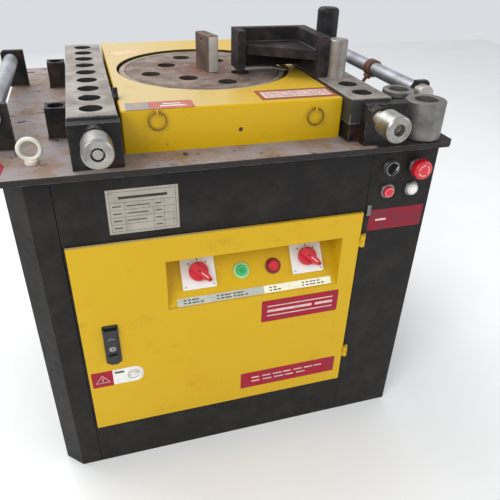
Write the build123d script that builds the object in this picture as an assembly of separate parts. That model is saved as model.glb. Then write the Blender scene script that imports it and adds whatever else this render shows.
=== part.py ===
from build123d import *
import math
import os

# Rebar bending machine: steel cabinet, worktable with a turning disc, two hole rails, rollers and tooling.
# Millimetres. +Z is up, +Y is towards the back, the origin is on the floor under the disc's axis.

# ---- cabinet ----
SHEET = 3.0
LEFT_X = -434.0
RIGHT_X = 434.0
FRONT_Y = -353.0
BACK_Y = 395.0
CORNER_CUT = 37.0
LEFT_SEAM_X = -352.0
RIGHT_SEAM_X = 280.0
SEAM_GAP = 1.0
BASE_T = 6.0
DOOR_GAP = 0.5

# ---- worktable ----
TABLE_TOP = 780.0
TABLE_T = 12.0
TABLE_X = 450.0
TABLE_FRONT = -378.0
TABLE_BACK = 420.0
TABLE_UNDER = TABLE_TOP - TABLE_T

# ---- hole rails ----
RAIL_X = 265.0
RAIL_W = 86.0
RAIL_FRONT = -338.0
RAIL_BACK = 270.0
RAIL_TOP = 868.0
RAIL_T = 50.0
RAIL_UNDER = RAIL_TOP - RAIL_T
HOLE_R = 21.0
HOLE_PITCH = 66.0
HOLE_FIRST_Y = -294.0
HOLE_COUNT = 9
FOOT_YS = (-308.0, -34.0, 232.0)
FOOT_LEN = 56.0

# ---- disc and its drive ----
DISC_R = 193.0
DISC_TOP = 858.0
DISC_T = 32.0
DISC_UNDER = DISC_TOP - DISC_T
HUB_R = 50.0
SHAFT_R = 40.0
OUTER_HOLE_PCR = 128.0
OUTER_HOLE_ANGLE = 13.0
INNER_HOLE_PCR = 92.0
INNER_HOLE_ANGLE = 58.0
FIT = 0.05
PRESSURE_ANGLE = 25.0
TOOTH_BACKLASH = 0.5
MAIN_TEETH = 78
LAY_PINION_TEETH = 13
MAIN_MODULE = 5.0
LAY_TEETH = 80
INPUT_TEETH = 16
LAY_MODULE = 3.0
LAY_X = 0.0
LAY_Y = (MAIN_TEETH + LAY_PINION_TEETH) * MAIN_MODULE / 2
INPUT_X = -(LAY_TEETH + INPUT_TEETH) * LAY_MODULE / 2
INPUT_Y = LAY_Y
MOTOR_X = -250.0
MOTOR_Y = -90.0
MOTOR_R = 92.0
MOTOR_FOOT_Z = 180.0
MOTOR_TOP_Z = 500.0
BIG_PULLEY_R = 135.0
SMALL_PULLEY_R = 45.0
BELT_ZS = (530.0, 550.0)
BELT_W = 12.0
BELT_DEPTH = 8.0
HOUSING_BOTTOM = 568.0
HOUSING_WALL = 9.0
HOUSING_MAIN_R = 215.0
FLANGE_W = 18.0
FLANGE_BOLT_R = 225.0
MAIN_GEAR_Z = (700.0, 745.0)
LAY_GEAR_Z = (610.0, 640.0)

# ---- disc cover ----
COVER_LEFT = -216.0
COVER_RIGHT = 221.4
COVER_FRONT = -303.0
COVER_BACK = 322.0
COVER_TOP = 862.0
COVER_OPEN_X = 2.7
COVER_OPEN_R = 200.5
RING_R = 16.5
RING_WIRE_R = 1.5
LEFT_RING = (-151.0, 857.0)
RIGHT_RING = (162.0, 845.0)
RING_STANDOFF = 4.5

# ---- rollers ----
ROLLER_R = 25.5
FRONT_ROLLER_Z = 843.5
LEFT_ROLLER_X = -264.0
RIGHT_ROLLER_X = 261.0
FRONT_ROLLER_Y = (-458.0, -410.0)
FRONT_PIN_R = 8.0
END_PLATE_T = 25.0
END_PLATE_TOP = 862.0
SIDE_ROLLER_X = 440.0
SIDE_ROLLER_Z = 845.0
SIDE_ROLLER_R = 16.5
SIDE_ROLLER_HALF = 218.0
SIDE_AXLE_R = 10.0
BRACKET_Y = 225.0
BRACKET_T = 12.0

# ---- loose tooling ----
FIXED_PIN_Y = HOLE_FIRST_Y + 3 * HOLE_PITCH
GUIDE_PIN_Y = HOLE_FIRST_Y + 2 * HOLE_PITCH
PIN_R = HOLE_R - FIT
STOP_BOTTOM = RAIL_TOP + 0.3
STOP_TOP = 952.0
LARGE_SLEEVE = (393.0, -333.0)
BUSH = (380.0, -245.0)
SOCKETS = ((-330.0, -174.0), (-335.0, 212.0))
SOCKET_TOP = 842.0
EYE = (-378.0, -307.0)
GLAND = (330.0, 120.0)

# ---- door and controls ----
DOOR_X = (-347.0, 274.0)
DOOR_Z = (127.0, 624.0)
DOOR_FACE_Y = -361.0
DOOR_SHEET = 2.0
HINGE_X = 281.0
HINGE_Y = -360.0
HINGE_ZS = (222.0, 553.5)
HINGE_HALF = 14.0
HINGE_PIN_R = 3.0
LATCH_X = -287.0
LATCH_PIVOT = (-366.0, 419.0)
TRAY_X = (-161.0, 231.0)
TRAY_Z = (445.0, 568.0)
TRAY_TILT = 35.0
SWITCH_Z = 505.0
TRAY_BUTTON_Z = 496.0
SWITCH_XS = (-88.0, 164.0)
START_X = 9.0
STOP_X = 83.0
SWITCH_PLATE = 75.0
SWITCH_PLATE_T = 6.0
BUTTON_R = 12.0
PANEL_HOLE_R = 12.4
SELECTOR_AT = (324.0, 724.0)
ESTOP_AT = (386.0, 722.0)
RED_AT = (326.0, 669.0)
WHITE_AT = (384.0, 669.0)


# ---------------------------------------------------------------- helpers
def block(x0, x1, y0, y1, z0, z1):
    """Box between two corners."""
    centre = Pos((x0 + x1) / 2, (y0 + y1) / 2, (z0 + z1) / 2)
    return centre * Box(x1 - x0, y1 - y0, z1 - z0)


def rod_z(x, y, z0, z1, r):
    return Pos(x, y, (z0 + z1) / 2) * Cylinder(r, z1 - z0)


def rod_y(x, y0, y1, z, r):
    return Pos(x, (y0 + y1) / 2, z) * Rot(90, 0, 0) * Cylinder(r, y1 - y0)


def ring_z(x, y, z0, z1, r_out, r_in):
    return rod_z(x, y, z0, z1, r_out) - rod_z(x, y, z0 - 1, z1 + 1, r_in)


def ring_y(x, y0, y1, z, r_out, r_in):
    return rod_y(x, y0, y1, z, r_out) - rod_y(x, y0 - 1, y1 + 1, z, r_in)


def hull_prism(circles, z0, z1):
    """Upright prism whose outline is the hull of circles given as (x, y, r)."""
    edges = [Pos(x, y) * Edge.make_circle(r) for x, y, r in circles]
    return Pos(0, 0, z0) * extrude(make_hull(edges), z1 - z0)


def prism_z(points, z0, z1):
    outline = make_face(Polyline(*points, close=True))
    return Pos(0, 0, z0) * extrude(outline, z1 - z0)


def hex_head(x, y, z0, z1, r):
    return Pos(x, y, z0) * extrude(RegularPolygon(r, 6), z1 - z0)


def save(shape, node):
    export_step(shape, "parts/" + node + ".step")


def gear_points(teeth, module, turn_deg):
    """Outline of a spur gear with involute flanks and one tooth centred on turn_deg."""
    pitch_r = teeth * module / 2
    pressure = math.radians(PRESSURE_ANGLE)
    base_r = pitch_r * math.cos(pressure)
    tip_r = pitch_r + 0.8 * module
    root_r = pitch_r - 1.05 * module
    half_pitch = math.pi / (2 * teeth) - TOOTH_BACKLASH / (2 * pitch_r)
    start_r = max(base_r, root_r)
    steps = 4
    flank = [root_r] if root_r < base_r else []
    flank += [start_r + (tip_r - start_r) * i / steps for i in range(steps + 1)]

    def half_angle(r):
        roll = math.acos(min(1.0, base_r / r))
        return half_pitch + (math.tan(pressure) - pressure) - (math.tan(roll) - roll)

    points = []
    for tooth in range(teeth):
        middle = math.radians(turn_deg) + 2 * math.pi * tooth / teeth
        for r in flank:
            angle = middle - half_angle(max(r, base_r))
            points.append((r * math.cos(angle), r * math.sin(angle)))
        for r in reversed(flank):
            angle = middle + half_angle(max(r, base_r))
            points.append((r * math.cos(angle), r * math.sin(angle)))
    return points


def spur_gear(x, y, z0, z1, teeth, module, turn_deg):
    return Pos(x, y, 0) * prism_z(gear_points(teeth, module, turn_deg), z0, z1)


def rail_hole_ys():
    return [HOLE_FIRST_Y + HOLE_PITCH * k for k in range(HOLE_COUNT)]


def on_circle(radius, start_deg, count):
    turns = [math.radians(start_deg + 360 / count * k) for k in range(count)]
    return [(radius * math.cos(a), radius * math.sin(a)) for a in turns]


# ---------------------------------------------------------------- cabinet
def base_frame():
    """Floor plate inside the panels, four angle posts and the motor stand, welded together."""
    inner_cut = CORNER_CUT - 0.8
    x0, x1 = LEFT_X + SHEET, RIGHT_X - SHEET
    y0, y1 = FRONT_Y + SHEET, BACK_Y - SHEET
    outline = [(x0 + inner_cut, y0), (x1, y0), (x1, y1), (x0, y1), (x0, y0 + inner_cut)]
    frame = prism_z(outline, 0, BASE_T)
    leg, wall = 40.0, 4.0
    corners = [(x0, y0 + 45, 1, 1), (x1, y0 + 45, -1, 1), (x0, y1, 1, -1), (x1, y1, -1, -1)]
    for x, y, sx, sy in corners:
        xs = sorted((x, x + sx * leg))
        ys = sorted((y, y + sy * leg))
        post = block(xs[0], xs[1], ys[0], ys[1], BASE_T, TABLE_UNDER)
        core_xs = sorted((x + sx * wall, x + sx * (leg + 1)))
        core_ys = sorted((y + sy * wall, y + sy * (leg + 1)))
        frame += post - block(core_xs[0], core_xs[1], core_ys[0], core_ys[1], 0, TABLE_UNDER + 1)
    half = MOTOR_R + 13
    frame += block(MOTOR_X - half, MOTOR_X + half, MOTOR_Y - half, MOTOR_Y + half,
                   MOTOR_FOOT_Z - 8, MOTOR_FOOT_Z)
    for dx in (-1, 1):
        for dy in (-1, 1):
            x, y = MOTOR_X + dx * (half - 15), MOTOR_Y + dy * (half - 15)
            frame += block(x - 15, x + 15, y - 15, y + 15, BASE_T, MOTOR_FOOT_Z - 8)
    return frame


def left_side_panel():
    """Left wall with the cut front corner and the narrow strip beside the door."""
    cut = CORNER_CUT
    inner = CORNER_CUT - 0.8
    seam = LEFT_SEAM_X - SEAM_GAP / 2
    points = [(seam, FRONT_Y), (LEFT_X + cut, FRONT_Y), (LEFT_X, FRONT_Y + cut), (LEFT_X, BACK_Y)]
    points += [(LEFT_X + SHEET, BACK_Y), (LEFT_X + SHEET, FRONT_Y + SHEET + inner),
               (LEFT_X + SHEET + inner, FRONT_Y + SHEET), (seam, FRONT_Y + SHEET)]
    return prism_z(points, 0, TABLE_UNDER)


def front_panel():
    """Front sheet with the opening that the door covers."""
    lap = 10.0
    x0, x1 = LEFT_SEAM_X + SEAM_GAP / 2, RIGHT_SEAM_X - SEAM_GAP / 2
    panel = block(x0, x1, FRONT_Y, FRONT_Y + SHEET, 0, TABLE_UNDER)
    opening = block(DOOR_X[0] + lap, DOOR_X[1] - lap, FRONT_Y - 5, FRONT_Y + 10,
                    DOOR_Z[0] + lap, DOOR_Z[1] - lap)
    return panel - opening


def control_panel():
    """Right front sheet that carries the controls, folded round the right front corner."""
    x0 = RIGHT_SEAM_X + SEAM_GAP / 2
    panel = block(x0, RIGHT_X, FRONT_Y, FRONT_Y + SHEET, 0, TABLE_UNDER)
    panel += block(RIGHT_X - SHEET, RIGHT_X, FRONT_Y, FRONT_Y + 40, 0, TABLE_UNDER)
    for x, z in (SELECTOR_AT, ESTOP_AT, RED_AT, WHITE_AT):
        panel -= rod_y(x, FRONT_Y - 5, FRONT_Y + 10, z, PANEL_HOLE_R)
    return panel


def right_side_panel():
    return block(RIGHT_X - SHEET, RIGHT_X, FRONT_Y + 40 + SEAM_GAP, BACK_Y, 0, TABLE_UNDER)


def rear_panel():
    """Back sheet with two columns of ventilation slots and the cable hole."""
    x0, x1 = LEFT_X + SHEET, RIGHT_X - SHEET
    panel = block(x0, x1, BACK_Y - SHEET, BACK_Y, 0, TABLE_UNDER)
    for x in (-180, 20):
        for row in range(8):
            z = 260 + 28 * row
            panel -= block(x - 60, x + 60, BACK_Y - 10, BACK_Y + 10, z, z + 8)
    return panel - rod_y(GLAND[0], BACK_Y - 10, BACK_Y + 10, GLAND[1], 12)


def cable_gland():
    """Hexagonal gland for the supply cable, with a tapered nose."""
    x, z = GLAND
    gland = rod_y(x, BACK_Y - 12, BACK_Y + 6, z, 12)
    gland += Pos(x, BACK_Y, z) * Rot(-90, 0, 0) * extrude(RegularPolygon(17, 6), 7)
    gland += Pos(x, BACK_Y + 12, z) * Rot(-90, 0, 0) * Cone(12, 8, 10)
    return gland - rod_y(x, BACK_Y - 20, BACK_Y + 30, z, 5)


def electrical_box():
    box = block(361, 431, -190, 110, 260, 560)
    lid = block(357, 361, -194, 114, 256, 564)
    return fillet(box.edges().filter_by(Axis.X), 6) + lid


def nameplate():
    return block(-261, -127, FRONT_Y - 0.8, FRONT_Y, 641, 734)


# ---------------------------------------------------------------- worktable
def bolt_points():
    return [(side * RAIL_X, y) for side in (-1, 1) for y in FOOT_YS]


def flange_bolt_points():
    return on_circle(FLANGE_BOLT_R, 180, 8)[:5]


def table_plate():
    plate = block(-TABLE_X, TABLE_X, TABLE_FRONT, TABLE_BACK, TABLE_UNDER, TABLE_TOP)
    plate = chamfer(plate.edges().filter_by(Axis.Z), 12)
    plate -= rod_z(0, 0, TABLE_UNDER - 1, TABLE_TOP + 1, SHAFT_R + 8)
    plate -= block(-421, -401, 366, 375, TABLE_UNDER - 1, TABLE_TOP + 1)
    for x, y in bolt_points():
        plate -= rod_z(x, y, TABLE_UNDER - 1, TABLE_TOP + 1, 6)
    for x, y in flange_bolt_points():
        plate -= rod_z(x, y, TABLE_UNDER - 1, TABLE_UNDER + 9, 5)
    return plate - rod_z(EYE[0], EYE[1], TABLE_UNDER - 1, TABLE_TOP + 1, 6)


def table_fasteners():
    """Hex bolts from below: six for the rail feet, five for the gearbox flange."""
    bolts = []
    for x, y in bolt_points():
        head = hex_head(x, y, TABLE_UNDER - 8, TABLE_UNDER, 11)
        bolts.append(head + rod_z(x, y, TABLE_UNDER - 1, TABLE_TOP + 20, 6))
    for x, y in flange_bolt_points():
        head = hex_head(x, y, TABLE_UNDER - 19, TABLE_UNDER - 12, 8)
        bolts.append(head + rod_z(x, y, TABLE_UNDER - 13, TABLE_UNDER + 8, 5))
    return Compound(children=bolts)


def rail(side):
    """Thick bar with a row of pin holes."""
    x = side * RAIL_X
    bar = block(x - RAIL_W / 2, x + RAIL_W / 2, RAIL_FRONT, RAIL_BACK, RAIL_UNDER, RAIL_TOP)
    bar = chamfer(bar.edges().group_by(Axis.Z)[-1], 1.5)
    for y in rail_hole_ys():
        bar -= rod_z(x, y, RAIL_UNDER - 1, RAIL_TOP + 1, HOLE_R)
    return bar


def rail_feet():
    feet = []
    for side in (-1, 1):
        for y in FOOT_YS:
            x = side * RAIL_X
            foot = block(x - 40, x + 40, y - FOOT_LEN / 2, y + FOOT_LEN / 2, TABLE_TOP, RAIL_UNDER)
            feet.append(foot - rod_z(x, y, TABLE_TOP - 1, TABLE_TOP + 20, 6))
    return Compound(children=feet)


def end_plates():
    """Black plates across the front ends of the rails; they hold the front rollers' axles."""
    plates = []
    for x0, x1, axle_x in ((-309, -220, LEFT_ROLLER_X), (246, 334, RIGHT_ROLLER_X)):
        plate = block(x0, x1, RAIL_FRONT - END_PLATE_T, RAIL_FRONT, TABLE_TOP, END_PLATE_TOP)
        boss = rod_y(axle_x, RAIL_FRONT - END_PLATE_T - 18, RAIL_FRONT - 2, FRONT_ROLLER_Z, 18)
        plate += boss & block(x0, x1, -400, RAIL_FRONT, TABLE_TOP, TABLE_TOP + 90)
        hole = rod_y(axle_x, RAIL_FRONT - 100, RAIL_FRONT + 1, FRONT_ROLLER_Z, FRONT_PIN_R)
        plates.append(plate - hole)
    return Compound(children=plates)


def roller_axles():
    """Stepped axles of the front rollers and through axles of the side rollers."""
    axles = []
    seat_end = RAIL_FRONT - END_PLATE_T - 18
    for x, tip_y in ((LEFT_ROLLER_X, FRONT_ROLLER_Y[0] + 1), (RIGHT_ROLLER_X, FRONT_ROLLER_Y[0] + 14)):
        axle = rod_y(x, tip_y, RAIL_FRONT, FRONT_ROLLER_Z, FRONT_PIN_R)
        axle += rod_y(x, FRONT_ROLLER_Y[1] + 0.5, seat_end, FRONT_ROLLER_Z, 13)
        axles.append(axle)
    for side, cap in ((-1, 8), (1, 25)):
        x = side * SIDE_ROLLER_X
        end = BRACKET_Y + BRACKET_T
        axle = rod_y(x, -end - 1, end + 1, SIDE_ROLLER_Z, SIDE_AXLE_R)
        axle += rod_y(x, -end - cap, -end, SIDE_ROLLER_Z, 18)
        axle += rod_y(x, end, end + 8, SIDE_ROLLER_Z, 15)
        axles.append(axle)
    return Compound(children=axles)


def front_roller(x):
    """Steel roller with bevelled rims and a deep counterbore in its outer face."""
    y0, y1 = FRONT_ROLLER_Y
    roller = rod_y(x, y0, y1, FRONT_ROLLER_Z, ROLLER_R)
    roller = chamfer(roller.edges().filter_by(GeomType.CIRCLE), 3)
    roller -= rod_y(x, y0 - 1, y1 + 1, FRONT_ROLLER_Z, FRONT_PIN_R + FIT)
    return roller - rod_y(x, y0 - 1, y0 + 16, FRONT_ROLLER_Z, 11.5)


def side_roller(side):
    x = side * SIDE_ROLLER_X
    tube = ring_y(x, -SIDE_ROLLER_HALF, SIDE_ROLLER_HALF, SIDE_ROLLER_Z, SIDE_ROLLER_R, SIDE_ROLLER_R - 4)
    for y in (-SIDE_ROLLER_HALF, SIDE_ROLLER_HALF - 10):
        tube += ring_y(x, y, y + 10, SIDE_ROLLER_Z, SIDE_ROLLER_R - 4, SIDE_AXLE_R + FIT)
    return tube


def side_roller_brackets():
    brackets = []
    for side, lean in ((-1, 1), (1, 20)):
        outline = [(side * 462, 0), (side * 462, 82), (side * 456, 88),
                   (side * (408 + lean), 88), (side * 408, 0)]
        for y in (-BRACKET_Y - BRACKET_T, BRACKET_Y):
            face = Plane(origin=(0, y + BRACKET_T, TABLE_TOP), x_dir=(1, 0, 0), z_dir=(0, -1, 0))
            plate = extrude(face * make_face(Polyline(*outline, close=True)), BRACKET_T)
            hole = rod_y(side * SIDE_ROLLER_X, y - 1, y + BRACKET_T + 1, SIDE_ROLLER_Z, SIDE_AXLE_R)
            brackets.append(plate - hole)
    return Compound(children=brackets)


def roller_ring_clamp():
    """Split band on the right side roller with its bolt leg."""
    x, y0, y1 = SIDE_ROLLER_X, -28.0, -4.0
    outer = SIDE_ROLLER_R + 4.5
    band = ring_y(x, y0, y1, SIDE_ROLLER_Z, outer, SIDE_ROLLER_R)
    bolt = Pos(0, 0, 41) * Cylinder(4.5, 34) + Pos(0, 0, outer + 2) * Box(12, 20, 8)
    bolt = Pos(x, (y0 + y1) / 2, SIDE_ROLLER_Z) * Rot(0, -145, 0) * bolt
    return band + (bolt - rod_y(x, y0 - 1, y1 + 1, SIDE_ROLLER_Z, SIDE_ROLLER_R + 1))


def tool_sockets():
    """Black upright tubes welded to the table: two beside the left rail, one under the flanged bush."""
    tubes = []
    for x, y in SOCKETS:
        tube = block(x - 21, x + 21, y - 21, y + 21, TABLE_TOP, SOCKET_TOP)
        tubes.append(tube - rod_z(x, y, TABLE_TOP + 10, SOCKET_TOP + 1, 15.5))
    x, y = BUSH
    seat = block(x - 27, x + 27, y - 27, y + 27, TABLE_TOP, 826)
    tubes.append(seat - rod_z(x, y, TABLE_TOP + 8, 827, 25.1))
    return Compound(children=tubes)


def large_sleeve():
    x, y = LARGE_SLEEVE
    body = rod_z(x, y, TABLE_TOP + 0.3, 858, 41)
    body = chamfer(body.edges().filter_by(GeomType.CIRCLE), 2)
    return body - rod_z(x, y, TABLE_TOP - 1, 860, 24.5)


def flanged_bush():
    x, y = BUSH
    body = rod_z(x, y, TABLE_TOP + 8.3, 850, 25)
    body += rod_z(x, y, 845, 856, 34)
    body = chamfer(body.edges().group_by(Axis.Z)[-1], 1.5)
    return body - rod_z(x, y, TABLE_TOP, 860, 22)


def eye_bolt():
    x, y = EYE
    ring = Pos(x, y, 806) * Rot(90, 0, 0) * Torus(18.6, 4)
    collar = rod_z(x, y, TABLE_TOP, 786, 12)
    return ring + collar + rod_z(x, y, TABLE_UNDER - 10, 787, 6)


# ---------------------------------------------------------------- disc cover
def disc_cover():
    """Folded sheet cover over the disc, with a round rimmed opening and two ring lugs."""
    shell = block(COVER_LEFT, COVER_RIGHT, COVER_FRONT, COVER_BACK, TABLE_TOP, COVER_TOP)
    bends = shell.edges().filter_by(Axis.Z) + shell.edges().group_by(Axis.Z)[-1]
    shell = fillet(bends, 4)
    shell -= block(COVER_LEFT + SHEET, COVER_RIGHT - SHEET, COVER_FRONT + SHEET, COVER_BACK - SHEET,
                   TABLE_TOP - 1, COVER_TOP - SHEET)
    shell += rod_z(COVER_OPEN_X, 0, COVER_TOP - 16, COVER_TOP - 1, COVER_OPEN_R + SHEET)
    shell -= rod_z(COVER_OPEN_X, 0, COVER_TOP - 20, COVER_TOP + 1, COVER_OPEN_R)
    shell -= rod_y(9, COVER_FRONT - 5, COVER_FRONT + 10, 812, 4.5)
    for x, z in (LEFT_RING, RIGHT_RING):
        lug = block(x - 1.5, x + 1.5, COVER_FRONT - RING_STANDOFF - 4, COVER_FRONT + 1, z - 4, z + 4)
        hole = Pos(x, COVER_FRONT - RING_STANDOFF, z) * Rot(0, 90, 0) * Cylinder(2.2, 10)
        shell += lug - hole
    return shell


def pull_ring(at):
    x, z = at
    return Pos(x, COVER_FRONT - RING_STANDOFF, z - RING_R) * Rot(90, 0, 0) * Torus(RING_R, RING_WIRE_R)


# ---------------------------------------------------------------- disc, shafts and gears
def former_block(extra, z0, z1):
    turned = Pos(8, -2, 0) * Rot(0, 0, OUTER_HOLE_ANGLE - 90)
    return turned * block(-30 - extra, 40 + extra, -12 - extra, 12 + extra, z0, z1)


def turntable_disc():
    disc = rod_z(0, 0, DISC_UNDER, DISC_TOP, DISC_R)
    disc = chamfer(disc.edges().filter_by(GeomType.CIRCLE), 2)
    disc -= rod_z(0, 0, DISC_UNDER - 1, DISC_TOP + 1, HUB_R)
    holes = on_circle(OUTER_HOLE_PCR, OUTER_HOLE_ANGLE, 4) + on_circle(INNER_HOLE_PCR, INNER_HOLE_ANGLE, 4)
    for x, y in holes:
        disc -= rod_z(x, y, DISC_UNDER - 1, DISC_TOP + 1, HOLE_R)
    return disc


def main_shaft():
    """Upright shaft: hub with the former's pocket, collar under the disc, journal and gear seat."""
    shaft = rod_z(0, 0, 584, DISC_UNDER, SHAFT_R)
    shaft += rod_z(0, 0, 812, DISC_UNDER, 70)
    shaft += rod_z(0, 0, DISC_UNDER - 1, DISC_TOP, HUB_R)
    return shaft - former_block(0.3, 832, DISC_TOP + 1)


def centre_former():
    """Flat bar that stands in the hub; the rebar is bent round it."""
    bar = former_block(0, 832.3, 937)
    cross = Pos(8, -2, 925) * Rot(0, 0, OUTER_HOLE_ANGLE - 90) * Rot(90, 0, 0) * Cylinder(4.5, 40)
    return chamfer(bar.edges().group_by(Axis.Z)[-1], 1) - cross


def main_gear():
    z0, z1 = MAIN_GEAR_Z
    gear = spur_gear(0, 0, z0, z1, MAIN_TEETH, MAIN_MODULE, 90)
    gear -= ring_z(0, 0, z1 - 12, z1 + 1, 165, 70)
    gear -= ring_z(0, 0, z0 - 1, z0 + 12, 165, 70)
    for x, y in on_circle(117, 0, 6):
        gear -= rod_z(x, y, z0 - 1, z1 + 1, 26)
    return gear - rod_z(0, 0, z0 - 1, z1 + 1, SHAFT_R)


def intermediate_shaft():
    """Layshaft with its small pinion cut on it and the larger gear keyed below."""
    z0, z1 = MAIN_GEAR_Z
    shaft = rod_z(LAY_X, LAY_Y, 582, 766, 15)
    pinion_turn = 270 + 180 / LAY_PINION_TEETH
    shaft += spur_gear(LAY_X, LAY_Y, z0 - 2, z1 + 2, LAY_PINION_TEETH, MAIN_MODULE, pinion_turn)
    gear = spur_gear(LAY_X, LAY_Y, LAY_GEAR_Z[0], LAY_GEAR_Z[1], LAY_TEETH, LAY_MODULE, 0)
    for x, y in on_circle(72, 45, 4):
        gear -= rod_z(LAY_X + x, LAY_Y + y, LAY_GEAR_Z[0] - 1, LAY_GEAR_Z[1] + 1, 24)
    return shaft + gear


def input_shaft():
    z0, z1 = LAY_GEAR_Z
    shaft = rod_z(INPUT_X, INPUT_Y, 515, 690, 12)
    turn = 180 / INPUT_TEETH
    return shaft + spur_gear(INPUT_X, INPUT_Y, z0 - 2, z1 + 2, INPUT_TEETH, LAY_MODULE, turn)


def pulley(x, y, radius, bore, spokes):
    """V-belt pulley with two grooves; large ones have lightening holes."""
    z0, z1 = BELT_ZS[0] - 12, BELT_ZS[1] + 12
    wheel = rod_z(x, y, z0, z1, radius)
    for z in BELT_ZS:
        half = BELT_W / 2 + 0.5
        wheel -= ring_z(x, y, z - half, z + half, radius + 1, radius - BELT_DEPTH - 1)
    for dx, dy in on_circle(radius * 0.55, 0, spokes) if spokes else []:
        wheel -= rod_z(x + dx, y + dy, z0 - 1, z1 + 1, radius * 0.19)
    return wheel - rod_z(x, y, z0 - 1, z1 + 1, bore)


def belt_pulley():
    return pulley(INPUT_X, INPUT_Y, BIG_PULLEY_R, 12, 6)


def motor_rotor():
    """Motor shaft end with the small belt pulley on it."""
    shaft = rod_z(MOTOR_X, MOTOR_Y, MOTOR_TOP_Z - 60, BELT_ZS[1] + 16, 14)
    return shaft + pulley(MOTOR_X, MOTOR_Y, SMALL_PULLEY_R, 14, 0)


def drive_belts():
    belts = []
    inner = 0.5 - BELT_DEPTH
    for z in BELT_ZS:
        pair = ((MOTOR_X, MOTOR_Y, SMALL_PULLEY_R), (INPUT_X, INPUT_Y, BIG_PULLEY_R))
        z0, z1 = z - BELT_W / 2, z + BELT_W / 2
        outside = hull_prism([(x, y, r - 0.5) for x, y, r in pair], z0, z1)
        inside = hull_prism([(x, y, r + inner) for x, y, r in pair], z0 - 1, z1 + 1)
        belts.append(outside - inside)
    return Compound(children=belts)


def gearbox_housing():
    """Cast tub under the table, open upwards, with a bolting flange and shaft holes in its floor."""
    circles = [(0, 0, HOUSING_MAIN_R), (LAY_X, LAY_Y, 134), (INPUT_X, INPUT_Y, 46)]
    grown = [(x, y, r + (FLANGE_W if r == HOUSING_MAIN_R else 0)) for x, y, r in circles]
    inner = [(x, y, r - HOUSING_WALL) for x, y, r in circles]
    tub = hull_prism(circles, HOUSING_BOTTOM, TABLE_UNDER)
    tub += hull_prism(grown, TABLE_UNDER - 12, TABLE_UNDER)
    tub -= hull_prism(inner, HOUSING_BOTTOM + 12, TABLE_UNDER + 1)
    tub -= rod_z(INPUT_X, INPUT_Y, HOUSING_BOTTOM - 1, HOUSING_BOTTOM + 20, 16)
    for x, y in flange_bolt_points():
        tub -= rod_z(x, y, TABLE_UNDER - 13, TABLE_UNDER + 1, 5)
    return tub


def bearings():
    """Outer bearing rings: main shaft top and bottom, layshaft and input shaft."""
    floor = HOUSING_BOTTOM + 12
    rings = [ring_z(0, 0, TABLE_TOP, TABLE_TOP + 26, 72, SHAFT_R + FIT),
             ring_z(0, 0, floor, floor + 26, 68, SHAFT_R + FIT),
             ring_z(LAY_X, LAY_Y, floor, floor + 20, 34, 15 + FIT),
             ring_z(LAY_X, LAY_Y, 750, TABLE_UNDER, 34, 15 + FIT),
             ring_z(INPUT_X, INPUT_Y, floor, floor + 20, 30, 12 + FIT),
             ring_z(INPUT_X, INPUT_Y, 662, 684, 30, 12 + FIT)]
    arm = block(INPUT_X - 12, INPUT_X + 12, INPUT_Y + 22, INPUT_Y + 34.9, 662, 684)
    arm -= rod_z(INPUT_X, INPUT_Y, 660, 690, 29)
    rings[-1] += arm
    return Compound(children=rings)


def motor_body():
    """Upright electric motor: ribbed frame, end shields, fan cowl below and terminal box."""
    z0, z1 = MOTOR_FOOT_Z, MOTOR_TOP_Z
    body = rod_z(MOTOR_X, MOTOR_Y, z0 + 60, z1 - 20, MOTOR_R - 12)
    for turn in range(0, 360, 20):
        fin = block(MOTOR_R - 16, MOTOR_R, -2, 2, z0 + 70, z1 - 30)
        body += Pos(MOTOR_X, MOTOR_Y, 0) * Rot(0, 0, turn) * fin
    body += rod_z(MOTOR_X, MOTOR_Y, z0, z0 + 66, MOTOR_R)
    body += rod_z(MOTOR_X, MOTOR_Y, z1 - 30, z1, MOTOR_R)
    body += block(MOTOR_X + 60, MOTOR_X + MOTOR_R + 30, MOTOR_Y - 45, MOTOR_Y + 45, 330, 430)
    return body - rod_z(MOTOR_X, MOTOR_Y, z1 - 62, z1 + 1, 14 + FIT)


# ---------------------------------------------------------------- loose tooling on the rails
def backstop_bracket():
    """Heavy U-shaped stop: short arm over the disc, back plate, long arm, shelf and pin lug."""
    z0, z1 = STOP_BOTTOM, STOP_TOP
    stop = block(64, 81, -80, -18, z0, z1)
    stop += block(64, 243, -38, -18, z0, z1)
    stop += block(219, 243, -168, -18, z0, z1)
    shelf = [(74, -30), (74, -70), (81, -70), (219, -156), (228, -156), (228, -30)]
    stop += prism_z(shelf, 902, 922)
    lug = rod_z(RAIL_X, FIXED_PIN_Y, z0, z0 + 25, 34)
    lug += block(235, RAIL_X, FIXED_PIN_Y - 34, FIXED_PIN_Y + 34, z0, z0 + 25)
    stop += lug
    return stop - rod_z(RAIL_X, FIXED_PIN_Y, z0 - 1, z0 + 26, HOLE_R + FIT) \
        - rod_z(RAIL_X, FIXED_PIN_Y, z0 + 25, z1 + 1, 24.5)


def backstop_wear_strip():
    """Flat bar at the foot of the back plate, its right end bent forwards."""
    outline = [(81, -38), (81, -56), (150, -66), (168, -96), (178, -92), (166, -56), (166, -38)]
    return prism_z(outline, STOP_BOTTOM, STOP_BOTTOM + 3)


def fixed_pin():
    """Black pin with a rounded head; it holds the backstop to the rail."""
    pin = rod_z(RAIL_X, FIXED_PIN_Y, RAIL_UNDER + 2, STOP_BOTTOM + 26, PIN_R)
    head = rod_z(RAIL_X, FIXED_PIN_Y, STOP_BOTTOM + 25.3, 1000, 23.5)
    head = fillet(head.edges().group_by(Axis.Z)[-1], 8)
    head -= ring_z(RAIL_X, FIXED_PIN_Y, 944, 946, 30, 22.7)
    return pin + head


def guide_pin():
    pin = rod_z(RAIL_X, GUIDE_PIN_Y, RAIL_UNDER + 2, 946, PIN_R)
    return chamfer(pin.edges().filter_by(GeomType.CIRCLE), 2)


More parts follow.
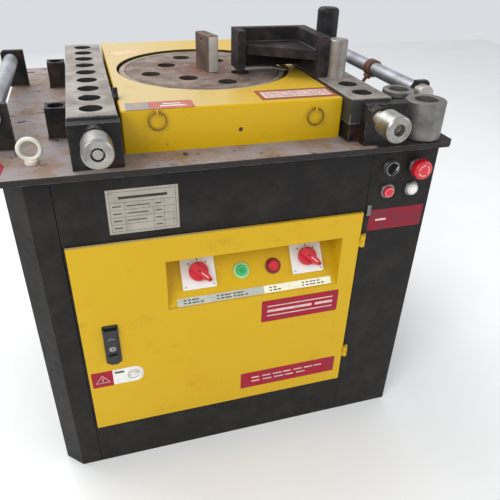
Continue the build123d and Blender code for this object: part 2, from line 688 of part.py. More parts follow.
# ---------------------------------------------------------------- door
def tray_frame(x, z, lift):
    """Plane on the tilted control tray: origin at height z, moved outwards by lift."""
    tilt = math.radians(TRAY_TILT)
    y = DOOR_FACE_Y + (z - TRAY_Z[0]) * math.tan(tilt)
    normal = (0, -math.cos(tilt), math.sin(tilt))
    origin = (x, y + normal[1] * lift, z + normal[2] * lift)
    return Plane(origin=origin, x_dir=(1, 0, 0), z_dir=normal)


def panel_frame(x, z, lift):
    """Plane on the right front sheet, moved outwards by lift."""
    return Plane(origin=(x, FRONT_Y - lift, z), x_dir=(1, 0, 0), z_dir=(0, -1, 0))


def door_panel():
    """Shallow sheet tray with the tray opening, the latch hole and its half of each hinge."""
    y0, y1 = DOOR_FACE_Y, FRONT_Y - DOOR_GAP
    door = block(DOOR_X[0], DOOR_X[1], y0, y1, DOOR_Z[0], DOOR_Z[1])
    door = fillet(door.edges().group_by(Axis.Y)[0], 1.8)
    door -= block(DOOR_X[0] + DOOR_SHEET, DOOR_X[1] - DOOR_SHEET, y0 + DOOR_SHEET, y1 + 1,
                  DOOR_Z[0] + DOOR_SHEET, DOOR_Z[1] - DOOR_SHEET)
    door -= block(TRAY_X[0], TRAY_X[1], y0 - 5, y1 + 5, TRAY_Z[0], TRAY_Z[1])
    for z in HINGE_ZS:
        leaf = block(DOOR_X[1] - 3, HINGE_X, HINGE_Y - 1, HINGE_Y + 4, z - HINGE_HALF, z - 0.5)
        knuckle = rod_z(HINGE_X, HINGE_Y, z - HINGE_HALF, z - 0.5, 6) + leaf
        door += knuckle - rod_z(HINGE_X, HINGE_Y, z - HINGE_HALF - 1, z + 1, HINGE_PIN_R + FIT)
    return door


def door_hinge_pins():
    """Cabinet halves of the two hinges with their pins."""
    halves = []
    for z in HINGE_ZS:
        top = z + HINGE_HALF
        half = rod_z(HINGE_X, HINGE_Y, z + 0.3, top, 6)
        half += block(HINGE_X + 1, HINGE_X + 9, FRONT_Y - 3, FRONT_Y, z + 0.3, top)
        half += block(HINGE_X + 1, HINGE_X + 6, HINGE_Y, FRONT_Y, z + 0.3, top)
        halves.append(half + rod_z(HINGE_X, HINGE_Y, z - HINGE_HALF - 2, z + 1, HINGE_PIN_R))
    return Compound(children=halves)


def control_tray():
    """Tilted sheet with its roof and two cheeks, welded into the door's opening."""
    x0, x1 = TRAY_X
    z0, z1 = TRAY_Z
    tilt = math.radians(TRAY_TILT)
    depth = (z1 - z0) * math.tan(tilt)
    side = Plane(origin=(x0 - DOOR_SHEET, 0, 0), x_dir=(0, 1, 0), z_dir=(1, 0, 0))
    y0 = DOOR_FACE_Y
    grow = DOOR_SHEET / math.cos(tilt)
    outer = [(y0 + DOOR_SHEET, z0 - grow), (y0 + DOOR_SHEET, z1 + DOOR_SHEET),
             (y0 + depth + grow, z1 + DOOR_SHEET), (y0 + depth + grow, z1)]
    solid = extrude(side * make_face(Polyline(*outer, close=True)), x1 - x0 + 2 * DOOR_SHEET)
    inner = [(y0 - 1, z0), (y0 - 1, z1), (y0 + depth, z1), (y0, z0)]
    hollow_side = Plane(origin=(x0, 0, 0), x_dir=(0, 1, 0), z_dir=(1, 0, 0))
    tray = solid - extrude(hollow_side * make_face(Polyline(*inner, close=True)), x1 - x0)
    for x in (START_X, STOP_X):
        tray -= tray_frame(x, TRAY_BUTTON_Z, 0) * Cylinder(PANEL_HOLE_R, 20)
    return tray


def switch_plates():
    plates = []
    for x in SWITCH_XS:
        frame = tray_frame(x, SWITCH_Z, SWITCH_PLATE_T / 2)
        plate = Box(SWITCH_PLATE, SWITCH_PLATE, SWITCH_PLATE_T)
        plates.append(frame * fillet(plate.edges().filter_by(Axis.Z), 3))
    return Compound(children=plates)


def switch_knob(x):
    """Cam switch knob with a tapered pointer that aims down to the right at rest."""
    frame = tray_frame(x, SWITCH_Z, SWITCH_PLATE_T + 0.3)
    knob = Pos(0, 0, 6) * Cylinder(21, 12)
    knob = chamfer(knob.edges().group_by(Axis.Z)[-1], 2)
    grip = [(-20, 8), (-20, -8), (20, -7.5), (32, -4), (34, 0), (32, 4), (20, 7.5)]
    knob += Rot(0, 0, -45) * Pos(0, 0, 8) * extrude(make_face(Polyline(*grip, close=True)), 14)
    return frame * knob


def tray_button(x):
    """Push button that travels through the tray."""
    frame = tray_frame(x, TRAY_BUTTON_Z, 0)
    cap = Pos(0, 0, -5) * Cylinder(BUTTON_R, 28)
    return frame * fillet(cap.edges().group_by(Axis.Z)[-1], 1.5)


def latch_body():
    plate = block(LATCH_X - 16.5, LATCH_X + 16.5, DOOR_FACE_Y - 2, DOOR_FACE_Y, 326, 430)
    plate = fillet(plate.edges().filter_by(Axis.Y), 4)
    for x0 in (LATCH_X - 15.5, LATCH_X + 12.5):
        plate += block(x0, x0 + 3, DOOR_FACE_Y - 8, DOOR_FACE_Y - 1, 411, 424)
    stub_hole = Pos(LATCH_X, LATCH_PIVOT[0], LATCH_PIVOT[1]) * Rot(0, 90, 0) * Cylinder(1.5 + FIT, 40)
    return plate - stub_hole


def latch_handle():
    """Paddle that lifts off its plate about two short stubs near its top."""
    paddle = block(LATCH_X - 12.2, LATCH_X + 12.2, DOOR_FACE_Y - 8, DOOR_FACE_Y - 2.5,
                   338, LATCH_PIVOT[1] + 1.5)
    paddle = fillet(paddle.edges().filter_by(Axis.Y), 3)
    paddle += block(LATCH_X - 9, LATCH_X + 9, DOOR_FACE_Y - 12, DOOR_FACE_Y - 7, 341, 354)
    return paddle + Pos(LATCH_X, LATCH_PIVOT[0], LATCH_PIVOT[1]) * Rot(0, 90, 0) * Cylinder(1.5, 30)


# ---------------------------------------------------------------- right front controls
def control_bezels():
    rings = []
    for x, z in (SELECTOR_AT, ESTOP_AT, RED_AT, WHITE_AT):
        ring = Pos(0, 0, 2.5) * Cylinder(16, 5)
        ring = chamfer(ring.edges().group_by(Axis.Z)[-1], 1.5)
        ring -= Cylinder(PANEL_HOLE_R, 20)
        rings.append(panel_frame(x, z, 0) * ring)
    return Compound(children=rings)


def panel_button(at):
    cap = Pos(0, 0, -4) * Cylinder(BUTTON_R, 30)
    return panel_frame(at[0], at[1], 0) * fillet(cap.edges().group_by(Axis.Z)[-1], 2)


def selector_knob():
    barrel = Pos(0, 0, -2) * Cylinder(BUTTON_R, 26)
    grip = Pos(0, 0, 16) * Box(9, 25, 14)
    grip = fillet(grip.edges().filter_by(Axis.Z), 3)
    return panel_frame(SELECTOR_AT[0], SELECTOR_AT[1], 0) * (barrel + Rot(0, 0, -25) * grip)


def emergency_stop():
    stem = Pos(0, 0, 2) * Cylinder(11, 34)
    head = Pos(0, 0, 23) * Cylinder(21, 18)
    head = fillet(head.edges().group_by(Axis.Z)[-1], 6)
    return panel_frame(ESTOP_AT[0], ESTOP_AT[1], 0) * (stem + head)


def main():
    os.makedirs("parts", exist_ok=True)
    nodes = {
        "base_frame": base_frame(),
        "left_side_panel": left_side_panel(),
        "front_panel": front_panel(),
        "control_panel": control_panel(),
        "right_side_panel": right_side_panel(),
        "rear_panel": rear_panel(),
        "cable_gland": cable_gland(),
        "electrical_box": electrical_box(),
        "nameplate": nameplate(),
        "table_plate": table_plate(),
        "table_fasteners": table_fasteners(),
        "left_rail": rail(-1),
        "right_rail": rail(1),
        "rail_feet": rail_feet(),
        "end_plates": end_plates(),
        "roller_axles": roller_axles(),
        "left_front_roller": front_roller(LEFT_ROLLER_X),
        "right_front_roller": front_roller(RIGHT_ROLLER_X),
        "left_side_roller": side_roller(-1),
        "right_side_roller": side_roller(1),
        "side_roller_brackets": side_roller_brackets(),
        "roller_ring_clamp": roller_ring_clamp(),
        "tool_sockets": tool_sockets(),
        "large_sleeve": large_sleeve(),
        "flanged_bush": flanged_bush(),
        "eye_bolt": eye_bolt(),
        "disc_cover": disc_cover(),
        "left_pull_ring": pull_ring(LEFT_RING),
        "right_pull_ring": pull_ring(RIGHT_RING),
        "turntable_disc": turntable_disc(),
        "main_shaft": main_shaft(),
        "centre_former": centre_former(),
        "main_gear": main_gear(),
        "intermediate_shaft": intermediate_shaft(),
        "input_shaft": input_shaft(),
        "belt_pulley": belt_pulley(),
        "motor_rotor": motor_rotor(),
        "drive_belts": drive_belts(),
        "gearbox_housing": gearbox_housing(),
        "bearings": bearings(),
        "motor_body": motor_body(),
        "backstop_bracket": backstop_bracket(),
        "backstop_wear_strip": backstop_wear_strip(),
        "fixed_pin": fixed_pin(),
        "guide_pin": guide_pin(),
        "door_panel": door_panel(),
        "door_hinge_pins": door_hinge_pins(),
        "control_tray": control_tray(),
        "switch_plates": switch_plates(),
        "left_switch_knob": switch_knob(SWITCH_XS[0]),
        "right_switch_knob": switch_knob(SWITCH_XS[1]),
        "start_button": tray_button(START_X),
        "stop_button": tray_button(STOP_X),
        "latch_body": latch_body(),
        "latch_handle": latch_handle(),
        "control_bezels": control_bezels(),
        "selector_knob": selector_knob(),
        "emergency_stop": emergency_stop(),
        "red_button": panel_button(RED_AT),
        "white_button": panel_button(WHITE_AT),
    }
    for node, shape in nodes.items():
        save(shape, node)


main()
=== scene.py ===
import math

import bmesh
import bpy
from mathutils import Matrix, Vector


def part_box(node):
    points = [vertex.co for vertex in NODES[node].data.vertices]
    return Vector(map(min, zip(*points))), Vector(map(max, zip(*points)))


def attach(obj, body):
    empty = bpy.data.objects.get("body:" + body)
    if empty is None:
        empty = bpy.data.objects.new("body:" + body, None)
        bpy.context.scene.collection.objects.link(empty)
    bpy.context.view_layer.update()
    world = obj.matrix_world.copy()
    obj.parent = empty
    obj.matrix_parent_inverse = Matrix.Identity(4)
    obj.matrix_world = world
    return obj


# Looks of a rebar bending machine. Metres, +Z up, +Y to the back, the disc's axis at the origin.

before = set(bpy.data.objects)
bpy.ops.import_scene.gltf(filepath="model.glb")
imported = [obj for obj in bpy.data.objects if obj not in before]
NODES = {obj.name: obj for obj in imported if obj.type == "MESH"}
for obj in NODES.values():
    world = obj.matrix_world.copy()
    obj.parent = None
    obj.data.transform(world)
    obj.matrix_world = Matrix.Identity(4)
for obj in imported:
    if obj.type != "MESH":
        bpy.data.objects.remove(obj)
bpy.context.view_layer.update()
MM = 0.001
TAU = 2 * math.pi


# ---------------------------------------------------------------- places read from the frame
TABLE_LOW, TABLE_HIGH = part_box("table_plate")
TABLE_Z = TABLE_HIGH[2]
COVER_LOW, COVER_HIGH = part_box("disc_cover")
COVER_Z = COVER_HIGH[2]
COVER_FRONT_Y = COVER_LOW[1] + 8.5 * MM
PANEL_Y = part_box("front_panel")[0][1]
DOOR_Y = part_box("latch_body")[1][1]
DOOR_LOW, DOOR_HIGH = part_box("door_panel")
TRAY_LOW, TRAY_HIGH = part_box("control_tray")
BACK_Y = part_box("rear_panel")[1][1]
TRAY_TILT = math.radians(35)
TRAY_FOOT_Z = 0.445
SWITCH_Z = 505 * MM
BUTTON_Z = 496 * MM
SELECTOR_X, SELECTOR_Z = 324 * MM, 724 * MM
COVER_OPENING_X = 2.7 * MM
FORMER_CENTRE = Vector((8 * MM, -2 * MM, 0))
FORMER_TURN = math.radians(13 - 90)
FORMER_REACH = 40.05 * MM


def mm(*values):
    """Millimetres as metres."""
    return tuple(value * MM for value in values)


def middle(node):
    low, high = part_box(node)
    return [(a + b) / 2 for a, b in zip(low, high)]


def plane(origin, x_dir, y_dir):
    """Matrix of a plane: local x and y lie on it, local z is its normal."""
    x_dir, y_dir = Vector(x_dir).normalized(), Vector(y_dir).normalized()
    normal = x_dir.cross(y_dir)
    matrix = Matrix((x_dir, y_dir, normal)).transposed().to_4x4()
    matrix.translation = Vector(origin)
    return matrix


def shifted(at, x, y, z):
    """A plane moved along its own axes by millimetres."""
    return at @ Matrix.Translation(mm(x, y, z))


def front_plane(x, y, z):
    return plane((x, y, z), (1, 0, 0), (0, 0, 1))


def top_plane(x, y, z):
    return plane((x, y, z), (1, 0, 0), (0, 1, 0))


def tray_plane(x, z, lift=0.0):
    """Plane on the tilted control sheet at height z, raised by lift."""
    y = DOOR_Y + (z - TRAY_FOOT_Z) * math.tan(TRAY_TILT)
    normal = Vector((0, -math.cos(TRAY_TILT), math.sin(TRAY_TILT)))
    origin = Vector((x, y, z)) + normal * lift
    return plane(origin, (1, 0, 0), (0, math.sin(TRAY_TILT), math.cos(TRAY_TILT)))


# ---------------------------------------------------------------- materials
def srgb(red, green, blue):
    """Linear colour from 0 to 255 values."""
    def linear(value):
        value /= 255
        return value / 12.92 if value <= 0.04045 else ((value + 0.055) / 1.055) ** 2.4
    return (linear(red), linear(green), linear(blue), 1.0)


def scaled(colour, by):
    return tuple(min(1.0, c * by) for c in colour[:3]) + (1.0,)


class Surface:
    """One procedural material and the nodes that feed its shader."""

    def __init__(self, name, rough=0.5, metal=0.0, coat=0.0, shine=0.5):
        self.material = bpy.data.materials.new(name)
        self.material.use_nodes = True
        self.tree = self.material.node_tree
        self.shader = self.tree.nodes["Principled BSDF"]
        self.shader.inputs["Roughness"].default_value = rough
        self.shader.inputs["Metallic"].default_value = metal
        self.shader.inputs["Coat Weight"].default_value = coat
        self.shader.inputs["Coat Roughness"].default_value = 0.12
        self.shader.inputs["Specular IOR Level"].default_value = shine
        self.coords = self.node("ShaderNodeTexCoord").outputs["Object"]
        self.geometry = self.node("ShaderNodeNewGeometry")

    def node(self, kind, **settings):
        made = self.tree.nodes.new(kind)
        for key, value in settings.items():
            setattr(made, key, value)
        return made

    def feed(self, socket, value):
        """Links a socket or sets a plain value."""
        if isinstance(value, bpy.types.NodeSocket):
            self.tree.links.new(value, socket)
        else:
            socket.default_value = value

    def mapped(self, stretch, shift=(0, 0, 0)):
        mapping = self.node("ShaderNodeMapping")
        mapping.inputs["Scale"].default_value = stretch
        mapping.inputs["Location"].default_value = shift
        self.feed(mapping.inputs["Vector"], self.coords)
        return mapping.outputs["Vector"]

    def noise(self, scale, detail=4.0, rough=0.55, stretch=(1, 1, 1), shift=(0, 0, 0)):
        made = self.node("ShaderNodeTexNoise")
        made.inputs["Scale"].default_value = scale
        made.inputs["Detail"].default_value = detail
        made.inputs["Roughness"].default_value = rough
        self.feed(made.inputs["Vector"], self.mapped(stretch, shift))
        return made.outputs["Fac"]

    def mask(self, value, low, high):
        """0 below low, 1 above high, smooth in between."""
        made = self.node("ShaderNodeMapRange", interpolation_type="SMOOTHSTEP")
        self.feed(made.inputs["Value"], value)
        made.inputs["From Min"].default_value = low
        made.inputs["From Max"].default_value = high
        return made.outputs["Result"]

    def span(self, value, low, high):
        """value from 0 to 1 spread between low and high."""
        made = self.node("ShaderNodeMapRange")
        self.feed(made.inputs["Value"], value)
        made.inputs["To Min"].default_value = low
        made.inputs["To Max"].default_value = high
        return made.outputs["Result"]

    def math(self, operation, first, second=0.0):
        made = self.node("ShaderNodeMath", operation=operation)
        made.use_clamp = operation in ("MULTIPLY", "ADD", "SUBTRACT", "MAXIMUM")
        self.feed(made.inputs[0], first)
        self.feed(made.inputs[1], second)
        return made.outputs[0]

    def times(self, first, second):
        return self.math("MULTIPLY", first, second)

    def larger(self, first, second):
        return self.math("MAXIMUM", first, second)

    def flipped(self, value):
        """1 where the value is 0, 0 where it is 1."""
        return self.math("SUBTRACT", 1.0, value)

    def mix(self, factor, first, second):
        made = self.node("ShaderNodeMix", data_type="RGBA")
        self.feed(made.inputs["Factor"], factor)
        self.feed(made.inputs[6], first)
        self.feed(made.inputs[7], second)
        return made.outputs[2]

    def edges(self, radius):
        """1 along edges sharper than the given rounding radius."""
        bevel = self.node("ShaderNodeBevel", samples=4)
        bevel.inputs["Radius"].default_value = radius
        dot = self.node("ShaderNodeVectorMath", operation="DOT_PRODUCT")
        self.feed(dot.inputs[0], bevel.outputs["Normal"])
        self.feed(dot.inputs[1], self.geometry.outputs["Normal"])
        return self.flipped(dot.outputs["Value"])

    def facing(self, axis):
        """The normal's part along x, y or z."""
        split = self.node("ShaderNodeSeparateXYZ")
        self.feed(split.inputs[0], self.geometry.outputs["Normal"])
        return split.outputs["xyz".index(axis)]

    def place(self, axis):
        split = self.node("ShaderNodeSeparateXYZ")
        self.feed(split.inputs[0], self.coords)
        return split.outputs["xyz".index(axis)]

    def radius(self, x=0.0, y=0.0, z=0.0, flat=(1, 1, 0)):
        """Distance from an axis; flat has a 0 for the axis' own direction."""
        length = self.node("ShaderNodeVectorMath", operation="LENGTH")
        shift = (-x * flat[0], -y * flat[1], -z * flat[2])
        self.feed(length.inputs[0], self.mapped(flat, shift))
        return length.outputs["Value"]

    def rings(self, distance, pitch):
        """Fine turned grooves, from a distance to the axis."""
        wave = self.node("ShaderNodeMath", operation="SINE")
        self.feed(wave.inputs[0], self.math_free("MULTIPLY", distance, TAU / pitch))
        return self.span(wave.outputs[0], 0.5, 1.0)

    def math_free(self, operation, first, second):
        made = self.node("ShaderNodeMath", operation=operation)
        self.feed(made.inputs[0], first)
        self.feed(made.inputs[1], second)
        return made.outputs[0]

    def bump(self, *layers):
        """Each layer is (height, distance in metres)."""
        normal = None
        for height, distance in layers:
            made = self.node("ShaderNodeBump")
            made.inputs["Distance"].default_value = distance
            self.feed(made.inputs["Height"], height)
            if normal is not None:
                self.feed(made.inputs["Normal"], normal)
            normal = made.outputs["Normal"]
        self.feed(self.shader.inputs["Normal"], normal)

    def finish(self, colour, rough=None, metal=None):
        self.feed(self.shader.inputs["Base Color"], colour)
        if rough is not None:
            self.feed(self.shader.inputs["Roughness"], rough)
        if metal is not None:
            self.feed(self.shader.inputs["Metallic"], metal)
        return self.material


def scratches(surface, amount=0.5):
    """Thin scattered hairline scratches in two directions."""
    first = surface.noise(9, 2, stretch=(6, 6, 90), shift=(3.1, 0, 0))
    second = surface.noise(9, 2, stretch=(70, 70, 5), shift=(0, 7.7, 0))
    lines = surface.larger(surface.mask(first, 0.70, 0.73), surface.mask(second, 0.71, 0.74))
    patches = surface.mask(surface.noise(7, 3), 0.52, 0.66)
    return surface.times(surface.times(lines, patches), amount)


def paint(name, colour, worn, rough=0.35, coat=0.0, dust=None, dust_amount=0.3, chips=0.5, varied=0.10,
          stain=None, stain_amount=0.3, shine=0.2):
    """Painted sheet: mottled colour, chipped edges, hairline scratches and settled dust."""
    s = Surface(name, rough, 0.0, coat, shine)
    broad = s.noise(5, 5)
    fine = s.noise(60, 4)
    base = s.mix(broad, scaled(colour, 1 - varied), scaled(colour, 1 + varied))
    base = s.mix(s.span(fine, 0.0, 0.35), base, scaled(colour, 1 - 2 * varied))
    if stain:
        marks = s.times(s.mask(s.noise(11, 6, 0.7), 0.52, 0.72), stain_amount)
        base = s.mix(marks, base, stain)
    if dust:
        settled = s.times(s.mask(s.noise(14, 8, 0.68), 0.42, 0.66), dust_amount)
        base = s.mix(settled, base, dust)
    edge = s.mask(s.edges(2.2 * MM), 0.02, 0.16)
    broken = s.mask(s.noise(85, 5, 0.65), 0.62 - 0.2 * chips, 0.68 - 0.2 * chips)
    specks = s.mask(s.noise(150, 3), 0.74, 0.78)
    bare = s.larger(s.times(edge, broken), s.times(specks, chips))
    lines = scratches(s, 0.5)
    base = s.mix(s.larger(bare, lines), base, worn)
    rougher = s.span(s.larger(fine, bare), rough * 0.8, min(1.0, rough + 0.25))
    s.bump((s.noise(420, 2), 0.06 * MM), (s.flipped(bare), 0.12 * MM))
    return s.finish(base, rougher)


def yellow_paint():
    """Glossy yellow sheet with a painted sky reflection on its up-facing faces, patchy dark grime, chips, and
    painted shade on the inner wall of the disc opening.
    """
    s = Surface("yellow_paint", 0.32, shine=0.3)
    colour = srgb(202, 162, 10)
    broad = s.noise(4, 4)
    base = s.mix(broad, scaled(colour, 0.93), scaled(colour, 1.05))
    ghost = s.mask(s.noise(8, 3, 0.5, shift=(1.3, 0, 0.6)), 0.60, 0.72)
    base = s.mix(s.times(ghost, 0.30), base, srgb(204, 142, 10))
    # Up-facing faces turn pale yellow, most towards the left: painted sky reflection on the glossy paint.
    up = s.mask(s.facing("z"), 0.85, 0.97)
    left = s.mask(s.math_free("MULTIPLY", s.place("x"), -1.0), -0.10, 0.16)
    painted_sky_reflection = s.times(up, s.math("ADD", s.times(left, 0.62), 0.10))
    base = s.mix(painted_sky_reflection, base, srgb(200, 184, 142))
    grime = s.times(s.mask(s.noise(16, 8, 0.7), 0.55, 0.74), 0.28)
    base = s.mix(grime, base, srgb(138, 104, 28))
    edge = s.mask(s.edges(2.0 * MM), 0.02, 0.14)
    broken = s.mask(s.noise(70, 5, 0.65), 0.60, 0.66)
    specks = s.mask(s.noise(120, 3), 0.75, 0.79)
    bare = s.larger(s.times(edge, broken), specks)
    base = s.mix(s.larger(bare, scratches(s, 0.35)), base, srgb(66, 50, 30))
    # The disc opening's inner wall is darkened nearly to black: painted shade in the gap round the disc.
    painted_opening_shade = s.flipped(s.mask(s.radius(COVER_OPENING_X), 0.2007, 0.2014))
    painted_opening_shade = s.times(painted_opening_shade, s.flipped(s.mask(s.facing("z"), 0.2, 0.7)))
    base = s.mix(s.times(painted_opening_shade, 0.92), base, srgb(30, 24, 18))
    s.bump((s.noise(380, 2), 0.05 * MM), (s.flipped(bare), 0.12 * MM))
    return s.finish(base, s.span(s.larger(s.noise(30, 4), bare), 0.22, 0.5))


def table_surface():
    """Worktable: dark paint rubbed through to grey, dusty steel on top, brown stains, dark edges."""
    s = Surface("table_surface", 0.6, shine=0.25)
    paint_colour = s.mix(s.noise(20, 6), srgb(28, 26, 27), srgb(52, 46, 46))
    grey = s.mix(s.noise(9, 6, 0.62), srgb(126, 116, 114), srgb(164, 154, 156))
    brown = s.mask(s.noise(13, 8, 0.7, shift=(0.4, 0.2, 0)), 0.42, 0.60)
    grey = s.mix(s.times(brown, 0.75), grey, srgb(134, 104, 70))
    rust = s.mask(s.noise(27, 6, 0.7, shift=(2, 1, 0)), 0.60, 0.72)
    grey = s.mix(s.times(rust, 0.55), grey, srgb(112, 66, 46))
    dark_side = s.mask(s.place("x"), 0.23, 0.32)
    front = s.mask(s.math_free("MULTIPLY", s.place("y"), -1.0), 0.20, 0.30)
    kept = s.times(dark_side, s.larger(front, 0.7))
    ragged = s.mask(s.math("ADD", kept, s.times(s.noise(24, 8, 0.7), 0.45)), 0.60, 0.80)
    up = s.mask(s.facing("z"), 0.8, 0.95)
    rubbed = s.times(up, s.flipped(ragged))
    patchy = s.mask(s.noise(33, 8, 0.7), 0.33, 0.42)
    rubbed = s.times(rubbed, patchy)
    edge = s.times(s.mask(s.edges(2.5 * MM), 0.02, 0.14), s.mask(s.noise(50, 6), 0.40, 0.60))
    colour = s.mix(rubbed, paint_colour, grey)
    colour = s.mix(s.times(edge, 0.8), colour, srgb(134, 122, 112))
    s.bump((s.noise(260, 5), 0.12 * MM), (rubbed, -0.15 * MM))
    return s.finish(colour, s.span(s.noise(40, 5), 0.45, 0.8), s.times(edge, 0.5))


def steel(name, light, dark, rust, rust_amount=0.3, rough=(0.3, 0.6), metal=0.85, grain=(1, 1, 1),
          edge_light=None, pits=0.08):
    """Bare steel: two greys clouded together, rust bloom, fine grain and brighter rubbed edges."""
    s = Surface(name, rough[0], metal)
    clouds = s.noise(16, 7, 0.62)
    grains = s.noise(90, 4, 0.6, stretch=grain)
    base = s.mix(s.mask(clouds, 0.30, 0.70), dark, light)
    base = s.mix(s.span(grains, 0.0, 0.5), base, dark)
    bloom = s.mask(s.noise(38, 8, 0.7, shift=(0.7, 1.9, 0.3)), 0.62 - 0.25 * rust_amount, 0.74)
    bloom = s.times(bloom, min(1.0, rust_amount * 1.6))
    base = s.mix(bloom, base, rust)
    spots = s.mask(s.noise(210, 4, 0.6), 0.66, 0.72)
    base = s.mix(s.times(spots, 0.6), base, scaled(dark, 0.35))
    edge = s.mask(s.edges(1.8 * MM), 0.02, 0.16)
    if edge_light:
        base = s.mix(s.times(edge, 0.75), base, edge_light)
    rougher = s.span(s.larger(grains, bloom), rough[0], rough[1])
    s.bump((s.noise(520, 3, stretch=grain), pits * MM), (s.flipped(spots), pits * MM))
    return s.finish(base, rougher, s.span(bloom, metal, 0.1))


def rail_surface():
    """Hole rails: worn grey top, dark painted flanks and ends, painted shade on the hole walls, bright rubbed
    edges.
    """
    s = Surface("rail_surface", 0.5, 0.5)
    top = s.mix(s.mask(s.noise(16, 7, 0.62), 0.30, 0.70), srgb(108, 99, 92), srgb(164, 156, 149))
    rust = s.mask(s.noise(38, 8, 0.7, shift=(0.7, 1.9, 0.3)), 0.52, 0.70)
    top = s.mix(s.times(rust, 0.5), top, srgb(122, 88, 66))
    # Every face not facing up takes this dark colour: dark paint on the flanks and ends, and painted shade on
    # the hole walls.
    dark = s.mix(s.noise(24, 6), srgb(30, 32, 33), srgb(54, 51, 49))
    up = s.mask(s.facing("z"), 0.6, 0.85)
    base = s.mix(up, dark, top)
    worn = s.mask(s.noise(60, 5), 0.35, 0.50)
    edge = s.times(s.mask(s.edges(3.0 * MM), 0.02, 0.14), worn)
    base = s.mix(s.times(edge, 0.85), base, srgb(204, 198, 190))
    s.bump((s.noise(420, 3, stretch=(1, 0.15, 1)), 0.08 * MM), (rust, 0.06 * MM))
    shown = s.larger(up, edge)
    return s.finish(base, s.span(s.noise(50, 5), 0.38, 0.70), s.times(shown, 0.5))


def turned(name, node, axis, light, dark, rust=None, rust_amount=0.2, rough=(0.2, 0.42)):
    """Turned steel with fine grooves round the node's own axis, x, y or z."""
    s = Surface(name, rough[0], 0.9)
    x, y, z = middle(node)
    flat = {"x": (0, 1, 1), "y": (1, 0, 1), "z": (1, 1, 0)}[axis]
    distance = s.radius(x, y, z, flat)
    along = s.place(axis)
    grooves = s.rings(s.math_free("ADD", distance, along), 0.9 * MM)
    clouds = s.noise(26, 6, 0.62)
    base = s.mix(s.mask(clouds, 0.30, 0.72), dark, light)
    base = s.mix(s.times(grooves, 0.12), base, scaled(dark, 0.6))
    edge = s.mask(s.edges(1.6 * MM), 0.03, 0.2)
    base = s.mix(s.times(edge, 0.6), base, srgb(236, 234, 226))
    if rust:
        bloom = s.times(s.mask(s.noise(44, 8, 0.7), 0.56, 0.7), rust_amount)
        base = s.mix(bloom, base, rust)
    s.bump((grooves, 0.03 * MM), (s.noise(300, 4), 0.05 * MM))
    return s.finish(base, s.span(clouds, rough[0], rough[1]))


def disc_surface():
    """Turned disc: broken brown and grey face, a groove near the edge with painted shade in it, painted shade
    on the walls of its holes and its side, and a paler worn rim.
    """
    s = Surface("disc_surface", 0.55, 0.35)
    distance = s.radius()
    base = s.mix(s.mask(s.noise(22, 7, 0.65), 0.30, 0.70), srgb(90, 76, 66), srgb(150, 137, 126))
    rusty = s.mask(s.noise(34, 9, 0.75, shift=(0.6, 1.1, 0)), 0.44, 0.60)
    base = s.mix(s.times(rusty, 0.60), base, srgb(118, 78, 56))
    uneven = s.math("ADD", distance, s.times(s.noise(18, 5), 0.07))
    hub = s.flipped(s.mask(uneven, 0.085, 0.145))
    flakes = s.mask(s.noise(52, 9, 0.8, shift=(1.2, 0.3, 0)), 0.42, 0.56)
    base = s.mix(s.times(s.times(hub, flakes), 0.85), base, srgb(112, 62, 46))
    dirt = s.mask(s.noise(75, 8, 0.75), 0.55, 0.66)
    base = s.mix(s.times(dirt, 0.5), base, srgb(64, 48, 38))
    rim = s.times(s.mask(distance, 0.1795, 0.1815), s.mask(s.noise(40, 6), 0.3, 0.5))
    base = s.mix(s.times(rim, 0.55), base, srgb(172, 158, 140))
    # The groove is only a bump; its dark band is painted shade in the groove.
    groove = s.times(s.mask(distance, 0.1770, 0.1782),
                    s.flipped(s.mask(distance, 0.1796, 0.1808)))
    base = s.mix(s.times(groove, 0.8), base, srgb(44, 35, 30))
    edge = s.mask(s.edges(1.8 * MM), 0.03, 0.2)
    base = s.mix(s.times(edge, 0.45), base, srgb(190, 176, 160))
    # Every face not facing up, the walls of the holes and the disc's side, is darkened: painted shade.
    holes = s.flipped(s.mask(s.facing("z"), 0.3, 0.8))
    base = s.mix(s.times(holes, 0.75), base, srgb(34, 27, 24))
    turning = s.rings(distance, 1.6 * MM)
    s.bump((turning, 0.05 * MM), (groove, -0.6 * MM), (s.noise(240, 5), 0.12 * MM))
    return s.finish(base, s.span(s.noise(50, 5), 0.42, 0.78), s.span(rusty, 0.45, 0.1))


def plastic(name, colour, rough=0.3, grain=0.03):
    """Moulded plastic with a faint texture and patches of handling grime."""
    s = Surface(name, rough, 0.0, 0.15)
    base = s.mix(s.noise(40, 4), scaled(colour, 0.88), scaled(colour, 1.04))
    dirt = s.times(s.mask(s.noise(95, 6, 0.7), 0.58, 0.72), 0.35)
    base = s.mix(dirt, base, scaled(colour, 0.45))
    s.bump((s.noise(700, 2), grain * MM))
    return s.finish(base, s.span(s.noise(70, 4), rough * 0.8, rough + 0.2))


def printed(name, colour, fade, rough=0.35):
    """Thin printed film or paper: uneven fading, small scuffs."""
    s = Surface(name, rough, shine=0.2)
    base = s.mix(s.mask(s.noise(30, 6, 0.65), 0.38, 0.68), colour, fade)
    scuffs = s.times(s.mask(s.noise(120, 5, 0.7), 0.62, 0.70), 0.5)
    base = s.mix(scuffs, base, scaled(fade, 0.8))
    s.bump((s.noise(180, 3), 0.04 * MM))
    return s.finish(base, s.span(s.noise(60, 3), rough, rough + 0.3))


def sticker_pair(name, first, second, split_x, fade):
    """Printed film of two colours that change at split_x."""
    s = Surface(name, 0.35)
    side = s.mask(s.place("x"), split_x - 0.4 * MM, split_x + 0.4 * MM)
    base = s.mix(side, first, second)
    base = s.mix(s.times(s.mask(s.noise(34, 6, 0.65), 0.45, 0.70), 0.6), base, fade)
    s.bump((s.noise(160, 3), 0.05 * MM))
    return s.finish(base, s.span(s.noise(60, 3), 0.28, 0.6))


